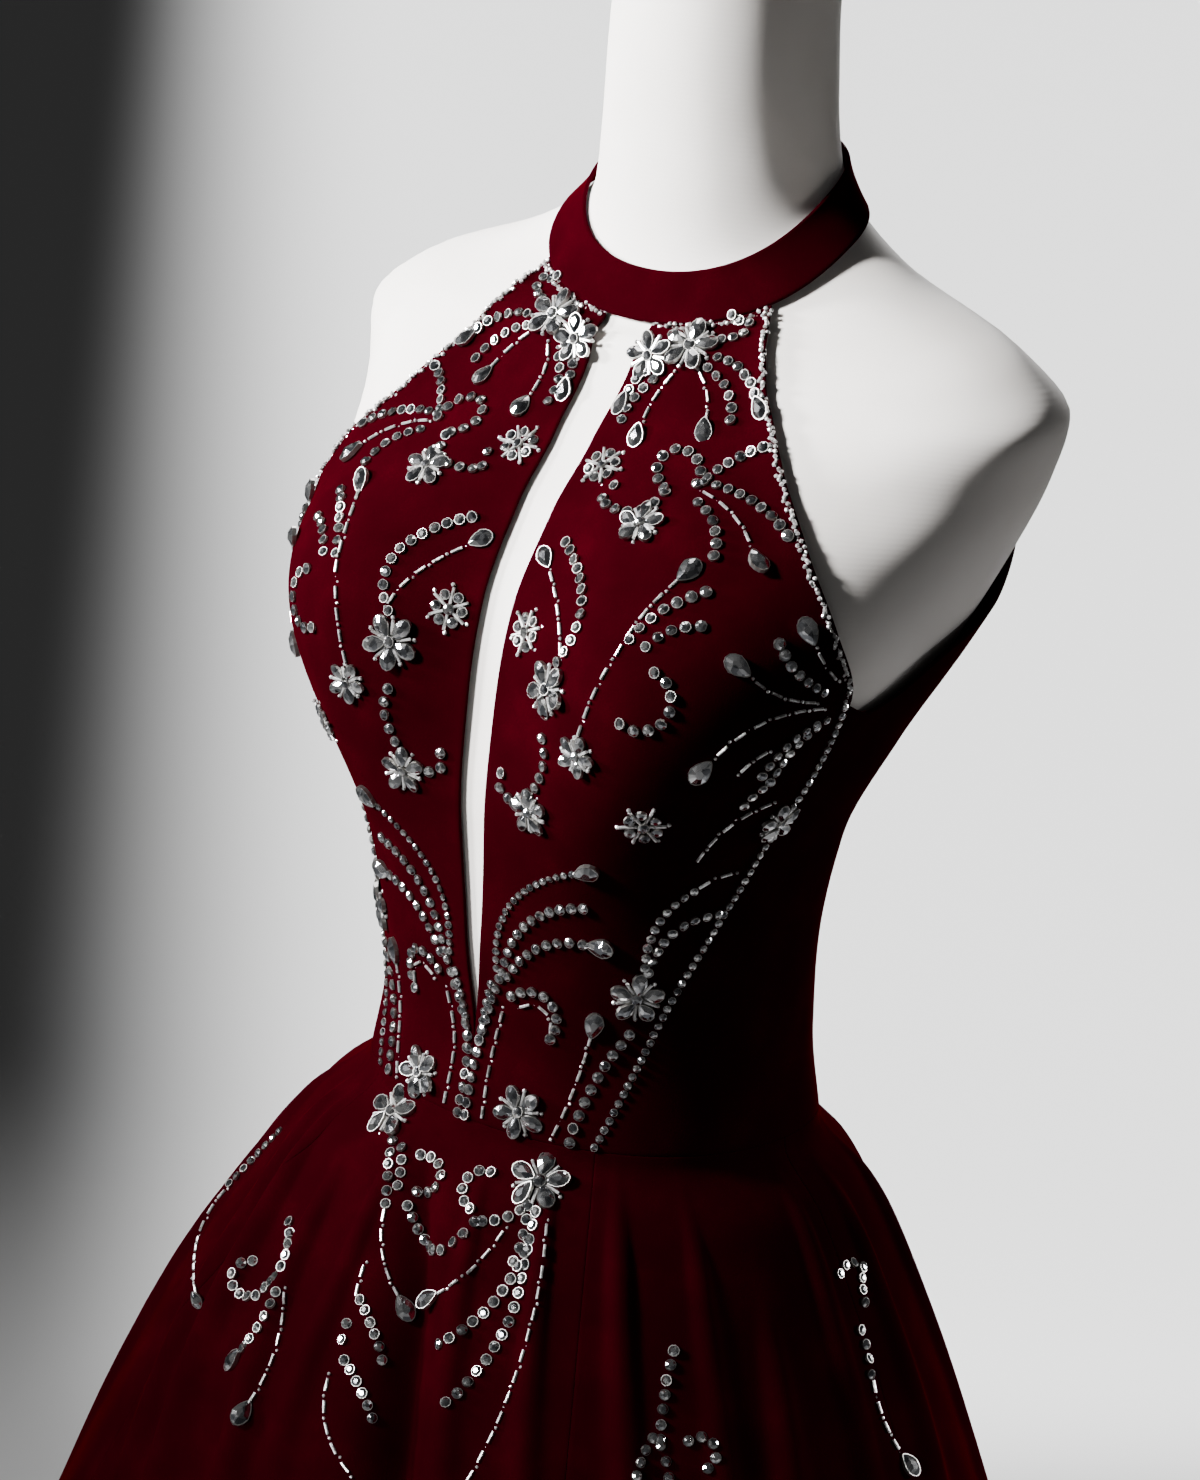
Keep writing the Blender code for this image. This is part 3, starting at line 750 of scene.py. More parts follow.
def back_place(u, v):
    """Angle and height on the left back panel, from the slanting seam to the centre back."""
    seam_angle, seam_height = OUTER_ANGLE(v * SEAM_SHARE), OUTER_HEIGHT(v * SEAM_SHARE)
    back_height = WAIST + (BAND_LOW - WAIST) * v
    first, last = BACK_CUT[0], BACK_CUT[-1]
    angle = WAIST_ANGLE(u) * (1 - v) + TOP_ANGLE(u) * v + seam_angle * (1 - u) + 180.0 * u
    angle -= (first.waist_angle * (1 - v) + first.top_angle * v) * (1 - u) + 180.0 * u
    height = WAIST * (1 - v) + TOP_HEIGHT(u) * v + seam_height * (1 - u) + back_height * u
    height -= (WAIST * (1 - v) + first.top_height * v) * (1 - u) + (WAIST * (1 - v) + last.top_height * v) * u
    return angle, height


def front_ease(u, v):
    """The front lies on the form, and its armhole edge stands a little off it."""
    edge = np.exp(-(((1 - u) * FRONT_WIDTH / EDGE_LIFT_WIDTH) ** 2))
    begun = np.clip((v - SEAM_SHARE) / EDGE_LIFT_START, 0.0, 1.0)
    above = begun * np.clip((1.0 - v) / EDGE_LIFT_END, 0.0, 1.0)
    return EASE + EDGE_LIFT * edge * above


def back_ease(u, v):
    """The back stands a little further off towards the shoulder blades."""
    return EASE + BLADE_EASE * np.minimum(u / BLADE_EASE_REACH, 1.0) * v**BLADE_EASE_RISE


def bodice_lay(place, ease, side, width, length):
    """Lays a panel over the figure, on the wearer's left for side 1 and mirrored for side -1.

    Its wall is level at the waist, where it meets the skirt's.
    """

    def lay(u, v):
        u, v = drawn_in(u, width), drawn_in(v, length)
        angle, height = place(u, v)
        way = outward(on_figure, angle, height)
        way[:, 2] *= np.clip((height - WAIST) / LEVELLED, 0.0, 1.0)
        way /= np.linalg.norm(way, axis=1)[:, None]
        points = on_figure(angle, height) + way * ease(u, v)[:, None]
        mirror = np.array([side, 1, 1])
        return points * mirror, way * mirror

    return lay


def skirt_lay(gore):
    """Lays a gore from the waist seam to the hem."""

    def lay(u, v):
        u, v = drawn_in(u, GORE_WIDTH), drawn_in(v, GORE_LENGTH)
        angle = gore.first + (gore.last - gore.first) * u
        height = WAIST + (HEM - WAIST) * v**SKIRT_ROW_GATHER
        way = skirt_outward(angle, height)
        return on_skirt(angle, height) + way * EASE, way

    return lay


def band_lay(u, v):
    """Lays the neckband round the base of the neck."""
    u, v = drawn_in(u, BAND_LENGTH), drawn_in(v, BAND_WIDTH)
    angle = -180.0 + 360.0 * u
    height = BAND_LOW + (BAND_HIGH - BAND_LOW) * v
    way = outward(on_figure, angle, height)
    return on_figure(angle, height) + way * BAND_EASE, way


def make_gown():
    """Every cut piece of velvet, in the place of its node."""
    pieces = {}
    for hand, side in (("left", 1), ("right", -1)):
        front = cloth_shell(
            f"velvet_front_{hand}",
            FRONT_COLUMNS,
            FRONT_ROWS,
            bodice_lay(front_place, front_ease, side, FRONT_WIDTH, FRONT_LENGTH),
        )
        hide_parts(f"bodice_front_{hand}")
        back = cloth_shell(
            f"velvet_back_{hand}",
            BACK_COLUMNS,
            BACK_ROWS,
            bodice_lay(back_place, back_ease, side, BACK_WIDTH, BACK_LENGTH),
        )
        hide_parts(f"bodice_back_{hand}")
        pieces[front.name] = front
        pieces[back.name] = back
    for gore in GORES:
        piece = cloth_shell(
            f"velvet_{gore.name}", gore.columns, SKIRT_ROWS, skirt_lay(gore), rounding=SKIRT_EDGE_ROUNDING
        )
        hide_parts(gore.name)
        pieces[piece.name] = piece
    band = cloth_shell("velvet_neckband", BAND_COLUMNS, BAND_ROWS, band_lay, BAND_CLOTH, BAND_EDGE_ROUNDING)
    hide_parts("neckband")
    pieces[band.name] = band
    return pieces


def make_form():
    """The dress form under the gown, closed by a rounded edge at the neck and the foot."""
    bm = bmesh.new()
    bmesh.ops.create_grid(bm, x_segments=FORM_COLUMNS, y_segments=FORM_ROWS, size=0.5)
    shares = np.array([(vert.co.x + 0.5, vert.co.y + 0.5) for vert in bm.verts])
    points = on_figure(-180.0 + 360.0 * shares[:, 0], FORM_FOOT + (FORM_TOP - FORM_FOOT) * shares[:, 1])
    for vert, point in zip(bm.verts, points):
        vert.co = point
    bmesh.ops.remove_doubles(bm, verts=bm.verts, dist=WELD)
    ends = bmesh.ops.holes_fill(bm, edges=[edge for edge in bm.edges if edge.is_boundary], sides=0)["faces"]
    rims = [edge for face in ends for edge in face.edges]
    bmesh.ops.bevel(
        bm,
        geom=rims,
        offset=FORM_EDGE,
        segments=FORM_EDGE_STEPS,
        profile=0.5,
        affect="EDGES",
        material=-1,
    )
    bmesh.ops.recalc_face_normals(bm, faces=bm.faces)
    form = piece_of("jersey_form", bm, [JERSEY])
    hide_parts("form_body")


def make_stand():
    """The round plate and the pole with its collar and flange, turned from steel."""
    crown = BASE_HEIGHT + BASE_CENTRE_RISE
    base = spun(
        [
            (0.0, crown),
            (BASE_CROWN_RADIUS, crown),
            (BASE_RADIUS - BASE_ROUNDING, BASE_HEIGHT),
            (BASE_RADIUS, BASE_HEIGHT - BASE_ROUNDING),
            (BASE_RADIUS, 0.0),
            (0.0, 0.0),
        ],
        BASE_STEPS,
        STAND_BEVEL,
    )
    foot = crown + SEAM_GAP
    head = FORM_FOOT - SEAM_GAP
    pole = spun(
        [
            (0.0, head),
            (FLANGE_RADIUS, head),
            (FLANGE_RADIUS, head - FLANGE_HEIGHT),
            (POLE_RADIUS, head - FLANGE_HEIGHT - POLE_RADIUS),
            (POLE_RADIUS, foot + COLLAR_HEIGHT),
            (COLLAR_RADIUS, foot + COLLAR_HEIGHT / 2),
            (COLLAR_RADIUS, foot),
            (0.0, foot),
        ],
        POLE_STEPS,
        STAND_BEVEL,
    )
    for name, bm, node in (("steel_base", base, "stand_base"), ("steel_pole", pole, "stand_pole")):
        piece = piece_of(name, bm, [STEEL])
        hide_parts(node)


def axes_at(point, out, along):
    """A placing whose z is the way out of the cloth and whose x runs along it."""
    z = Vector(out).normalized()
    x = (Vector(along) - z * Vector(along).dot(z)).normalized()
    y = z.cross(x)
    made = Matrix((x, y, z)).transposed().to_4x4()
    made.translation = Vector(point)
    return made


def button_placing(node):
    """Where a covered button sits, from its node: x points away from the centre back, z out of the cloth."""
    low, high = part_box(node)
    middle = (low + high) / 2
    angle = np.array([math.degrees(math.atan2(middle.x, -middle.y))])
    height = middle.z
    if node.startswith("neckband"):
        height = BAND_LOW + (BAND_HIGH - BAND_LOW) * BAND_BUTTON_SHARES[node[-1]]
    height = np.array([height])
    if node.startswith("skirt"):
        out = Vector(skirt_outward(angle, height)[0])
    else:
        out = Vector(outward(on_figure, angle, height)[0])
    return axes_at(middle - out * BUTTON_THICKNESS / 2, out, (1, 0, 0))


def make_buttons():
    """Domed buttons covered in velvet, each held by a loop of velvet cord."""
    buttons, loops = bmesh.new(), bmesh.new()
    profile = [(radius * BUTTON_RADIUS, height * BUTTON_THICKNESS) for radius, height in BUTTON_PROFILE]
    for node in BUTTON_NODES:
        placing = button_placing(node)
        dome = spun(profile, BUTTON_STEPS)
        dome.transform(placing)
        gathered = bpy.data.meshes.new("button")
        dome.to_mesh(gathered)
        dome.free()
        buttons.from_mesh(gathered)
        bpy.data.meshes.remove(gathered)
        add_loop(loops, placing)
    domes = piece_of("velvet_buttons", buttons, [BUTTON_VELVET])
    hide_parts(*BUTTON_NODES)
    cords = piece_of("button_loops", loops, [BUTTON_VELVET])


def add_leg(bm, edges, reach):
    """Draws the cord's open end out along x, and gives the new end's vertices and edges."""
    leg = bmesh.ops.extrude_edge_only(bm, edges=edges)["geom"]
    verts = picked(leg, bmesh.types.BMVert)
    bmesh.ops.translate(bm, verts=verts, vec=(reach, 0, 0))
    edges = [edge for edge in picked(leg, bmesh.types.BMEdge) if all(vert in verts for vert in edge.verts)]
    return verts, edges


def add_loop(bm, placing):
    """One loop: a thin cord from the closing edge round the button's shank and back."""
    start = Matrix.Translation((-LOOP_REACH, LOOP_RADIUS, LOOP_CORD * LOOP_LIFT))
    start = start @ Matrix.Rotation(math.pi / 2, 4, "Y")
    ring = bmesh.ops.create_circle(
        bm, cap_ends=True, segments=LOOP_SIDES, radius=LOOP_CORD, matrix=start
    )["verts"]
    verts, edges = add_leg(bm, list({edge for vert in ring for edge in vert.link_edges}), LOOP_REACH)
    bend = bmesh.ops.spin(
        bm,
        geom=verts + edges,
        axis=(0, 0, 1),
        cent=(0, 0, 0),
        angle=-math.pi,
        steps=LOOP_BENDS,
        use_duplicate=False,
    )["geom_last"]
    verts, edges = add_leg(bm, picked(bend, bmesh.types.BMEdge), -LOOP_REACH)
    bmesh.ops.holes_fill(bm, edges=edges, sides=0)
    fresh = set()
    reach = list(ring)
    while reach:
        vert = reach.pop()
        if vert not in fresh:
            fresh.add(vert)
            reach += [edge.other_vert(vert) for edge in vert.link_edges]
    bmesh.ops.transform(bm, matrix=placing, verts=list(fresh))
    bmesh.ops.recalc_face_normals(bm, faces=list({face for vert in fresh for face in vert.link_faces}))


gown = make_gown()
make_form()
make_stand()
make_buttons()


# The camera stands where the photograph was taken

def view_axes():
    """The photograph's right, up and forward directions, and the camera's place."""
    azimuth = math.radians(VIEW_AZIMUTH)
    yaw = math.radians(VIEW_AZIMUTH + VIEW_PAN)
    tilt = math.radians(VIEW_TILT)
    roll = math.radians(VIEW_ROLL)
    place = Vector((math.sin(azimuth) * VIEW_DISTANCE, -math.cos(azimuth) * VIEW_DISTANCE, VIEW_HEIGHT))
    forward = Vector((-math.sin(yaw) * math.cos(tilt), math.cos(yaw) * math.cos(tilt), -math.sin(tilt)))
    right = forward.cross(Vector((0, 0, 1))).normalized()
    up = right.cross(forward)
    rolled_right = right * math.cos(roll) + up * math.sin(roll)
    rolled_up = up * math.cos(roll) - right * math.sin(roll)
    return rolled_right, rolled_up, forward, place


RIGHT, UP, FORWARD, EYE = view_axes()


def make_camera():
    """The camera, through a long lens from the wearer's left, slightly above."""
    data = bpy.data.cameras.new("camera")
    data.sensor_fit = "VERTICAL"
    data.sensor_height = SENSOR_MM
    data.lens = FOCAL_PIXELS * SENSOR_MM / PHOTO_HEIGHT
    data.clip_end = VIEW_REACH
    camera = bpy.data.objects.new("camera", data)
    turn = Matrix((RIGHT, UP, -FORWARD)).transposed().to_4x4()
    turn.translation = EYE
    camera.matrix_world = turn
    bpy.context.scene.collection.objects.link(camera)
    bpy.context.scene.camera = camera


make_camera()


# The beading

CROWN = 0.70
DROP_TAPER = 0.42
DROP_TAPER_START = 0.1
STONE_TILT = math.radians(9)
STONE_SIDES = 10
DROP_SIDES = 14
PETAL_SIDES = 12
TUBE_SIDES = 6
STROKE_STEPS = 40
EDGE_PLACES = 120
LEAST_STEP = 1e-9

# Sizes of beads are in millimetres. Pitches, lifts and the stagger are in metres, unless named MM. Shares are
# of a stone's size, and the turn from one crystal to the next is in radians.
CRYSTAL_PITCH_SHARE = 1.24
CRYSTAL_TURN = 0.7
BUGLE_PITCH = 0.0047
BUGLE_WIDTH = 1.35
BUGLE_LENGTH = 5.4
BUGLE_ROW_SEED = 1.7
TIP_REACH_SHARE = 0.9
MOTIF_BUGLE_WIDTH = 1.5
MOTIF_SEED = 2.2
FLOWER_LIFT = 0.0002
FLOWER_BUGLE_LIFT = 0.0004
FLOWER_CENTRE_LIFT_MM = 1.2
BURST_CENTRE_LIFT_MM = 0.5
ROPE_PITCH = 0.0012
ROPE_STAGGER = 0.0008
ROPE_SEED = 2.2
CHAIN_STONE = 3.7
FLOWER_PETALS = 5
BURST_ARMS = 6

# Where the edge beading lies, as shares of the front panel's width, of its length or of the edge's own length
ARMHOLE_ROPE_ACROSS = 0.981
ARMHOLE_ROPE_END = 0.99
TOP_ROPE_START = 0.02
TOP_ROPE_RUN = 0.95
TOP_ROPE_UP = 0.992
CHAIN_ACROSS = 0.978
CHAIN_START = 0.01
CHAIN_RUN = 0.99

Stroke = namedtuple("Stroke", "kind x y to_x to_y bend tip first last", defaults=(0, 0.0, 0.0))
Curl = namedtuple("Curl", "kind x y radius start sweep size", defaults=(0.0,))
Flower = namedtuple("Flower", "x y size turn")
Burst = namedtuple("Burst", "x y size turn")

# Where the beading lies, as pixels of the photograph's frame. A bend is how far a row bows to the left of
# its way, as a share of its length. A tip is the width of a drop at its end, and first and last are the sizes
# of its crystals, in millimetres. A row of bugles has one size, which these tables don't state.
FRONT_STROKES = [
    Stroke("crystals", 656, 366, 630, 390, -0.08, 8, 5.0, 4.6),
    Stroke("crystals", 654, 380, 622, 420, -0.06, 0, 4.8, 4.4),
    Stroke("bugles", 676, 372, 643, 422, -0.05, 8),
    Stroke("bugles", 698, 370, 707, 416, 0.10, 8),
    Stroke("crystals", 708, 368, 731, 421, 0.16, 0, 4.2, 5.0),
    Stroke("crystals", 718, 358, 756, 394, 0.14, 8, 4.2, 5.2),
    Stroke("crystals", 722, 340, 744, 334, -0.05, 0, 4.4, 4.6),
    Stroke("crystals", 750, 324, 733, 315, 0.10, 0, 4.6, 4.6),
    Stroke("crystals", 708, 478, 764, 448, 0.05, 0, 4.2, 5.2),
    Stroke("crystals", 704, 483, 788, 536, 0.10, 0, 4.2, 5.4),
    Stroke("bugles", 700, 491, 751, 546, 0.10, 9),
    Stroke("crystals", 698, 503, 714, 557, 0.16, 0, 4.4, 5.2),
    Stroke("crystals", 665, 493, 606, 505, 0.22, 0, 5.0, 4.8),
    Stroke("crystals", 603, 499, 615, 486, 0.10, 0, 4.8, 4.6),
    Stroke("crystals", 567, 543, 558, 662, 0.17, 0, 5.2, 4.6),
    Stroke("bugles", 561, 660, 550, 570, -0.04, 8),
    Stroke("crystals", 543, 738, 530, 796, 0.12, 0, 5.0, 4.6),
    Stroke("bugles", 614, 660, 674, 584, 0.05, 9),
    Stroke("crystals", 630, 640, 706, 593, 0.08, 0, 4.4, 5.4),
    Stroke("crystals", 646, 647, 701, 627, 0.10, 0, 4.4, 5.2),
    Stroke("bugles", 610, 664, 577, 740, -0.03),
    Stroke("bugles", 838, 682, 816, 648, 0.04, 9),
    Stroke("crystals", 824, 692, 779, 644, 0.10, 0, 4.0, 5.4),
    Stroke("bugles", 818, 702, 752, 679, 0.10, 9),
    Stroke("bugles", 826, 708, 714, 758, -0.10, 9),
    Stroke("crystals", 826, 720, 770, 781, -0.06, 0, 3.8, 4.6),
    Stroke("crystals", 816, 724, 762, 775, -0.06, 0, 3.8, 4.6),
    Stroke("bugles", 770, 750, 738, 774, -0.05),
    Stroke("crystals", 762, 788, 744, 805, -0.05, 0, 4.4, 4.6),
    Stroke("bugles", 774, 802, 700, 856, -0.08),
    Stroke("crystals", 497, 968, 572, 874, 0.24, 9, 3.6, 3.2),
    Stroke("crystals", 503, 972, 584, 908, 0.22, 0, 4.4, 5.0),
    Stroke("crystals", 508, 976, 583, 944, 0.17, 9, 4.6, 4.8),
    Stroke("crystals", 500, 978, 466, 1115, -0.03, 0, 4.8, 5.0),
    Stroke("crystals", 492, 984, 479, 1052, -0.02, 0, 4.2, 4.4),
    Stroke("bugles", 504, 1008, 483, 1112, -0.02),
    Stroke("crystals", 648, 972, 718, 914, 0.16, 0, 4.8, 4.4),
    Stroke("crystals", 645, 968, 694, 891, 0.14, 0, 4.4, 3.8),
    Stroke("bugles", 694, 891, 736, 872, 0.06),
    Stroke("crystals", 630, 1034, 570, 1142, -0.06, 0, 5.0, 5.2),
    Stroke("bugles", 551, 1139, 590, 1040, -0.03, 9),
]
FRONT_CURLS = [
    Curl("crystals", 679, 472, 22, -35, 265, 5.0),
    Curl("crystals", 518, 782, 18, 150, 125, 5.0),
    Curl("crystals", 641, 700, 31, 62, -192, 5.0),
    Curl("crystals", 528, 1020, 29, 123, -163, 5.0),
    Curl("bugles", 530, 1026, 21, 125, -130),
]
FRONT_FLOWERS = [
    Flower(650, 356, 22, 20),
    Flower(691, 346, 25, 0),
    Flower(641, 524, 21, 10),
    Flower(548, 690, 25, 35),
    Flower(530, 812, 21, 5),
    Flower(577, 756, 19, 50),
    Flower(778, 822, 21, 15),
    Flower(637, 998, 24, 0),
    Flower(520, 1112, 24, 30),
]
FRONT_BURSTS = [
    Burst(603, 466, 21, 0),
    Burst(527, 632, 21, 25),
    Burst(643, 826, 22, 10),
]
SKIRT_STROKES = [
    Stroke("crystals", 395, 1130, 386, 1204, -0.02, 0, 5.0, 4.8),
    Stroke("crystals", 402, 1148, 398, 1186, 0.04, 0, 4.8, 4.8),
    Stroke("bugles", 386, 1206, 396, 1292, -0.10, 9),
    Stroke("crystals", 408, 1206, 434, 1250, -0.06, 0, 5.0, 5.2),
    Stroke("crystals", 442, 1250, 474, 1222, -0.06, 0, 5.0, 5.0),
    Stroke("crystals", 482, 1221, 521, 1211, -0.08, 0, 5.0, 5.0),
    Stroke("bugles", 506, 1227, 441, 1292, 0.06, 9),
    Stroke("crystals", 537, 1212, 440, 1344, 0.12, 0, 5.4, 5.0),
    Stroke("crystals", 528, 1206, 514, 1262, 0.06, 0, 5.2, 5.0),
    Stroke("crystals", 528, 1250, 446, 1403, 0.10, 0, 5.2, 5.0),
    Stroke("bugles", 547, 1220, 470, 1476, 0.06),
    Stroke("crystals", 290, 1222, 266, 1288, 0.12, 0, 5.0, 5.2),
    Stroke("crystals", 276, 1292, 244, 1348, 0.04, 9, 4.8, 5.0),
    Stroke("bugles", 284, 1288, 252, 1398, 0.08, 9),
    Stroke("crystals", 280, 1132, 230, 1184, 0.0, 0, 4.6, 4.4),
    Stroke("bugles", 228, 1188, 196, 1290, -0.12, 6),
    Stroke("bugles", 366, 1262, 356, 1300, -0.03),
    Stroke("crystals", 361, 1300, 382, 1360, 0.03, 0, 5.0, 4.8),
    Stroke("crystals", 347, 1324, 343, 1340, 0.0, 0, 4.8, 4.8),
    Stroke("crystals", 345, 1360, 372, 1418, 0.03, 0, 5.0, 4.8),
    Stroke("bugles", 330, 1374, 352, 1476, -0.14),
    Stroke("crystals", 674, 1351, 660, 1440, -0.03, 0, 5.2, 4.8),
    Stroke("crystals", 652, 1438, 636, 1476, -0.05, 0, 4.8, 4.8),
    Stroke("crystals", 660, 1446, 668, 1478, 0.04, 0, 4.8, 5.0),
    Stroke("crystals", 862, 1266, 864, 1302, -0.05, 0, 4.4, 4.8),
    Stroke("crystals", 860, 1330, 870, 1374, 0.04, 0, 5.0, 4.6),
    Stroke("bugles", 872, 1376, 900, 1452, -0.06, 9),
]
SKIRT_CURLS = [
    Curl("crystals", 423, 1174, 19, 95, -205, 5.0),
    Curl("crystals", 484, 1192, 21, 68, 165, 5.0),
    Curl("crystals", 250, 1279, 18, -30, -250, 5.0),
    Curl("crystals", 699, 1454, 17, 130, -190, 5.0),
    Curl("crystals", 852, 1276, 13, 170, -130, 4.6),
]
SKIRT_FLOWERS = [
    Flower(393, 1112, 27, 15),
    Flower(540, 1182, 28, 0),
]

Spot = namedtuple("Spot", "point out along")


def pixel_way(x, y):
    """The direction from the camera through a pixel of the photograph's frame."""
    across = x - PHOTO_WIDTH / 2
    down = y - PHOTO_HEIGHT / 2
    return (FORWARD * FOCAL_PIXELS + RIGHT * across - UP * down).normalized()


def cloth_tree(pieces):
    """The velvet's faces, to lay beading on."""
    verts, faces = [], []
    for piece in pieces:
        first = len(verts)
        verts += [vert.co.copy() for vert in piece.data.vertices]
        faces += [[first + index for index in face.vertices] for face in piece.data.polygons]
    return BVHTree.FromPolygons(verts, faces)


def seen_spots(tree, pixels):
    """The places on the cloth behind these pixels."""
    spots = []
    for x, y in pixels:
        hit, out = tree.ray_cast(EYE, pixel_way(x, y))[:2]
        if hit is not None:
            spots.append((hit, out))
    return spots


def mirrored(tree, spots):
    """The same places on the wearer's other side."""
    return [tree.find_nearest(Vector((-hit.x, hit.y, hit.z)))[:2] for hit, _ in spots]


def walked(spots, pitch):
    """Places this far apart along a line of places, each with its way out and its way along."""
    if len(spots) < 2:
        return []
    ways = [0.0]
    for (before, _), (after, _) in zip(spots, spots[1:]):
        ways.append(ways[-1] + (after - before).length)
    count = max(round(ways[-1] / pitch), 1)
    made = []
    at = 0
    for step in range(count + 1):
        goal = ways[-1] * step / count
        while at < len(ways) - 2 and ways[at + 1] < goal:
            at += 1
        share = (goal - ways[at]) / max(ways[at + 1] - ways[at], LEAST_STEP)
        point = spots[at][0].lerp(spots[at + 1][0], share)
        out = spots[at][1].lerp(spots[at + 1][1], share).normalized()
        made.append(Spot(point, out, spots[at + 1][0] - spots[at][0]))
    return made


def bowed(stroke):
    """The pixels along a stroke, which bows to one side."""
    start, end = Vector((stroke.x, stroke.y)), Vector((stroke.to_x, stroke.to_y))
    way = end - start
    aside = Vector((way.y, -way.x)) * stroke.bend
    pixels = []
    for step in range(STROKE_STEPS + 1):
        t = step / STROKE_STEPS
        pixels.append(start + way * t + aside * 4 * t * (1 - t))
    return pixels


def curled(curl):
    """The pixels round a curl, from its start angle: 0 points right and 90 up."""
    pixels = []
    for step in range(STROKE_STEPS + 1):
        turn = math.radians(curl.start + curl.sweep * step / STROKE_STEPS)
        pixels.append((curl.x + curl.radius * math.cos(turn), curl.y - curl.radius * math.sin(turn)))
    return pixels


def stone_template(outline, wall, rim, crown):
    """A cut stone in its metal cup: the outline's wall, a rim, then facets up to a flat table."""
    bm = bmesh.new()
    verts = [bm.verts.new((x, y, 0.0)) for x, y in outline]
    base = bm.faces.new(verts)
    raised = bmesh.ops.extrude_face_region(bm, geom=[base], use_keep_orig=True)["geom"]
    top = next(item for item in raised if isinstance(item, bmesh.types.BMFace))
    bmesh.ops.translate(bm, verts=top.verts, vec=(0, 0, wall))
    bmesh.ops.recalc_face_normals(bm, faces=bm.faces)
    bmesh.ops.inset_region(bm, faces=[top], thickness=rim)
    cup_faces = [face for face in bm.faces if face is not top]
    for face in cup_faces:
        face.material_index = 1
    ring = bmesh.ops.inset_region(bm, faces=[top], thickness=crown, depth=crown * CROWN)
    for face in ring["faces"]:
        face.material_index = 0
    top.material_index = 0
    return bm


def round_outline(sides):
    """Points round a circle, a metre across before it is scaled."""
    turns = [math.tau * side / sides for side in range(sides)]
    return [(0.5 * math.cos(turn), 0.5 * math.sin(turn)) for turn in turns]


def drop_outline(sides):
    """Points round a drop whose tip points along -x, a metre long before it is scaled."""
    points = []
    for side in range(sides):
        turn = math.tau * side / sides
        x = math.cos(turn)
        narrow = 1.0 + DROP_TAPER * min(x - DROP_TAPER_START, 0.0)
        points.append((x / 2, math.sin(turn) / 2 * narrow))
    return points


def array_of(template):
    """A template's vertices, faces and materials, to be repeated."""
    bmesh.ops.recalc_face_normals(template, faces=template.faces)
    points = np.array([vert.co for vert in template.verts])
    template.verts.index_update()
    faces = [[vert.index for vert in face.verts] for face in template.faces]
    slots = [face.material_index for face in template.faces]
    template.free()
    return points, faces, slots


def small_ball():
    """A seed bead, a metre across before it is scaled."""
    bm = bmesh.new()
    bmesh.ops.create_icosphere(bm, subdivisions=1, radius=0.5)
    return bm


def small_tube():
    """A bugle bead along x, a metre long and a metre thick before it is scaled."""
    bm = bmesh.new()
    bmesh.ops.create_cone(
        bm,
        cap_ends=True,
        segments=TUBE_SIDES,
        radius1=0.5,
        radius2=0.5,
        depth=1.0,
        matrix=Matrix.Rotation(math.pi / 2, 4, "Y"),
    )
    return bm


TEMPLATES = {
    "crystal": array_of(stone_template(round_outline(STONE_SIDES), wall=0.26, rim=0.05, crown=0.24)),
    "drop": array_of(stone_template(drop_outline(DROP_SIDES), wall=0.22, rim=0.035, crown=0.25)),
    "petal": array_of(stone_template(drop_outline(PETAL_SIDES), wall=0.26, rim=0.035, crown=0.25)),
    "seed": array_of(small_ball()),
    "bugle": array_of(small_tube()),
}
STONES = ("crystal", "drop", "petal")
LENGTHS = {"drop": 1.45, "petal": 1.5}
LIFTS = {"crystal": 0.0, "drop": 0.0, "petal": 0.0, "seed": 0.42, "bugle": 0.45}


class Beading:
    """Beads of each kind gathered for one area, to be joined into one piece a kind."""

    def __init__(self, area):
        self.area = area
        self.placings = {kind: [] for kind in TEMPLATES}
        self.draws = random.Random(area)

    def set_bead(self, kind, spot, size, length=None, turn=0.0, lift=0.0):
        """Sets one bead on the cloth, this wide and long in millimetres, turned round its own middle."""
        placing = axes_at(spot.point, spot.out, spot.along)
        width = size / 1000
        long = (length or size * LENGTHS.get(kind, 1.0)) / 1000
        placing = placing @ Matrix.Rotation(turn, 4, "Z")
        if kind == "seed":
            placing = placing @ Matrix.Rotation(self.draws.uniform(0, math.tau), 4, "X")
        if kind in STONES:
            tilt = Matrix.Rotation(self.draws.gauss(0, STONE_TILT), 4, "X")
            placing = placing @ tilt @ Matrix.Rotation(self.draws.gauss(0, STONE_TILT), 4, "Y")
        placing = placing @ Matrix.Translation((0, 0, LIFTS[kind] * width + lift / 1000))
        scale = Matrix.Diagonal((long, width, width, 1.0))
        self.placings[kind].append(np.array(placing @ scale))

    def join(self, materials):
        """Joins the beads of each kind into one piece."""
        for kind, placings in self.placings.items():
            if not placings:
                continue
            points, faces, slots = TEMPLATES[kind]
            moves = np.array(placings)
            spread = np.einsum("nij,pj->npi", moves[:, :3, :3], points) + moves[:, None, :3, 3]
            starts = [copy * len(points) for copy in range(len(moves))]
            joined = [[index + start for index in face] for start in starts for face in faces]
            mesh = bpy.data.meshes.new(f"{self.area}_{kind}")
            mesh.from_pydata(spread.reshape(-1, 3).tolist(), [], joined)
            for material in materials[kind]:
                mesh.materials.append(material)
            mesh.polygons.foreach_set("material_index", slots * len(moves))
            piece = bpy.data.objects.new(mesh.name, mesh)
            bpy.context.scene.collection.objects.link(piece)
            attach(piece, "root")


BEAD_MATERIALS = {
    "crystal": [FOILED_GLASS, SILVER_CUP],
    "drop": [FOILED_GLASS, SILVER_CUP],
    "petal": [FOILED_GLASS, SILVER_CUP],
    "seed": [SILVERED_GLASS],
    "bugle": [SILVERED_GLASS],
}


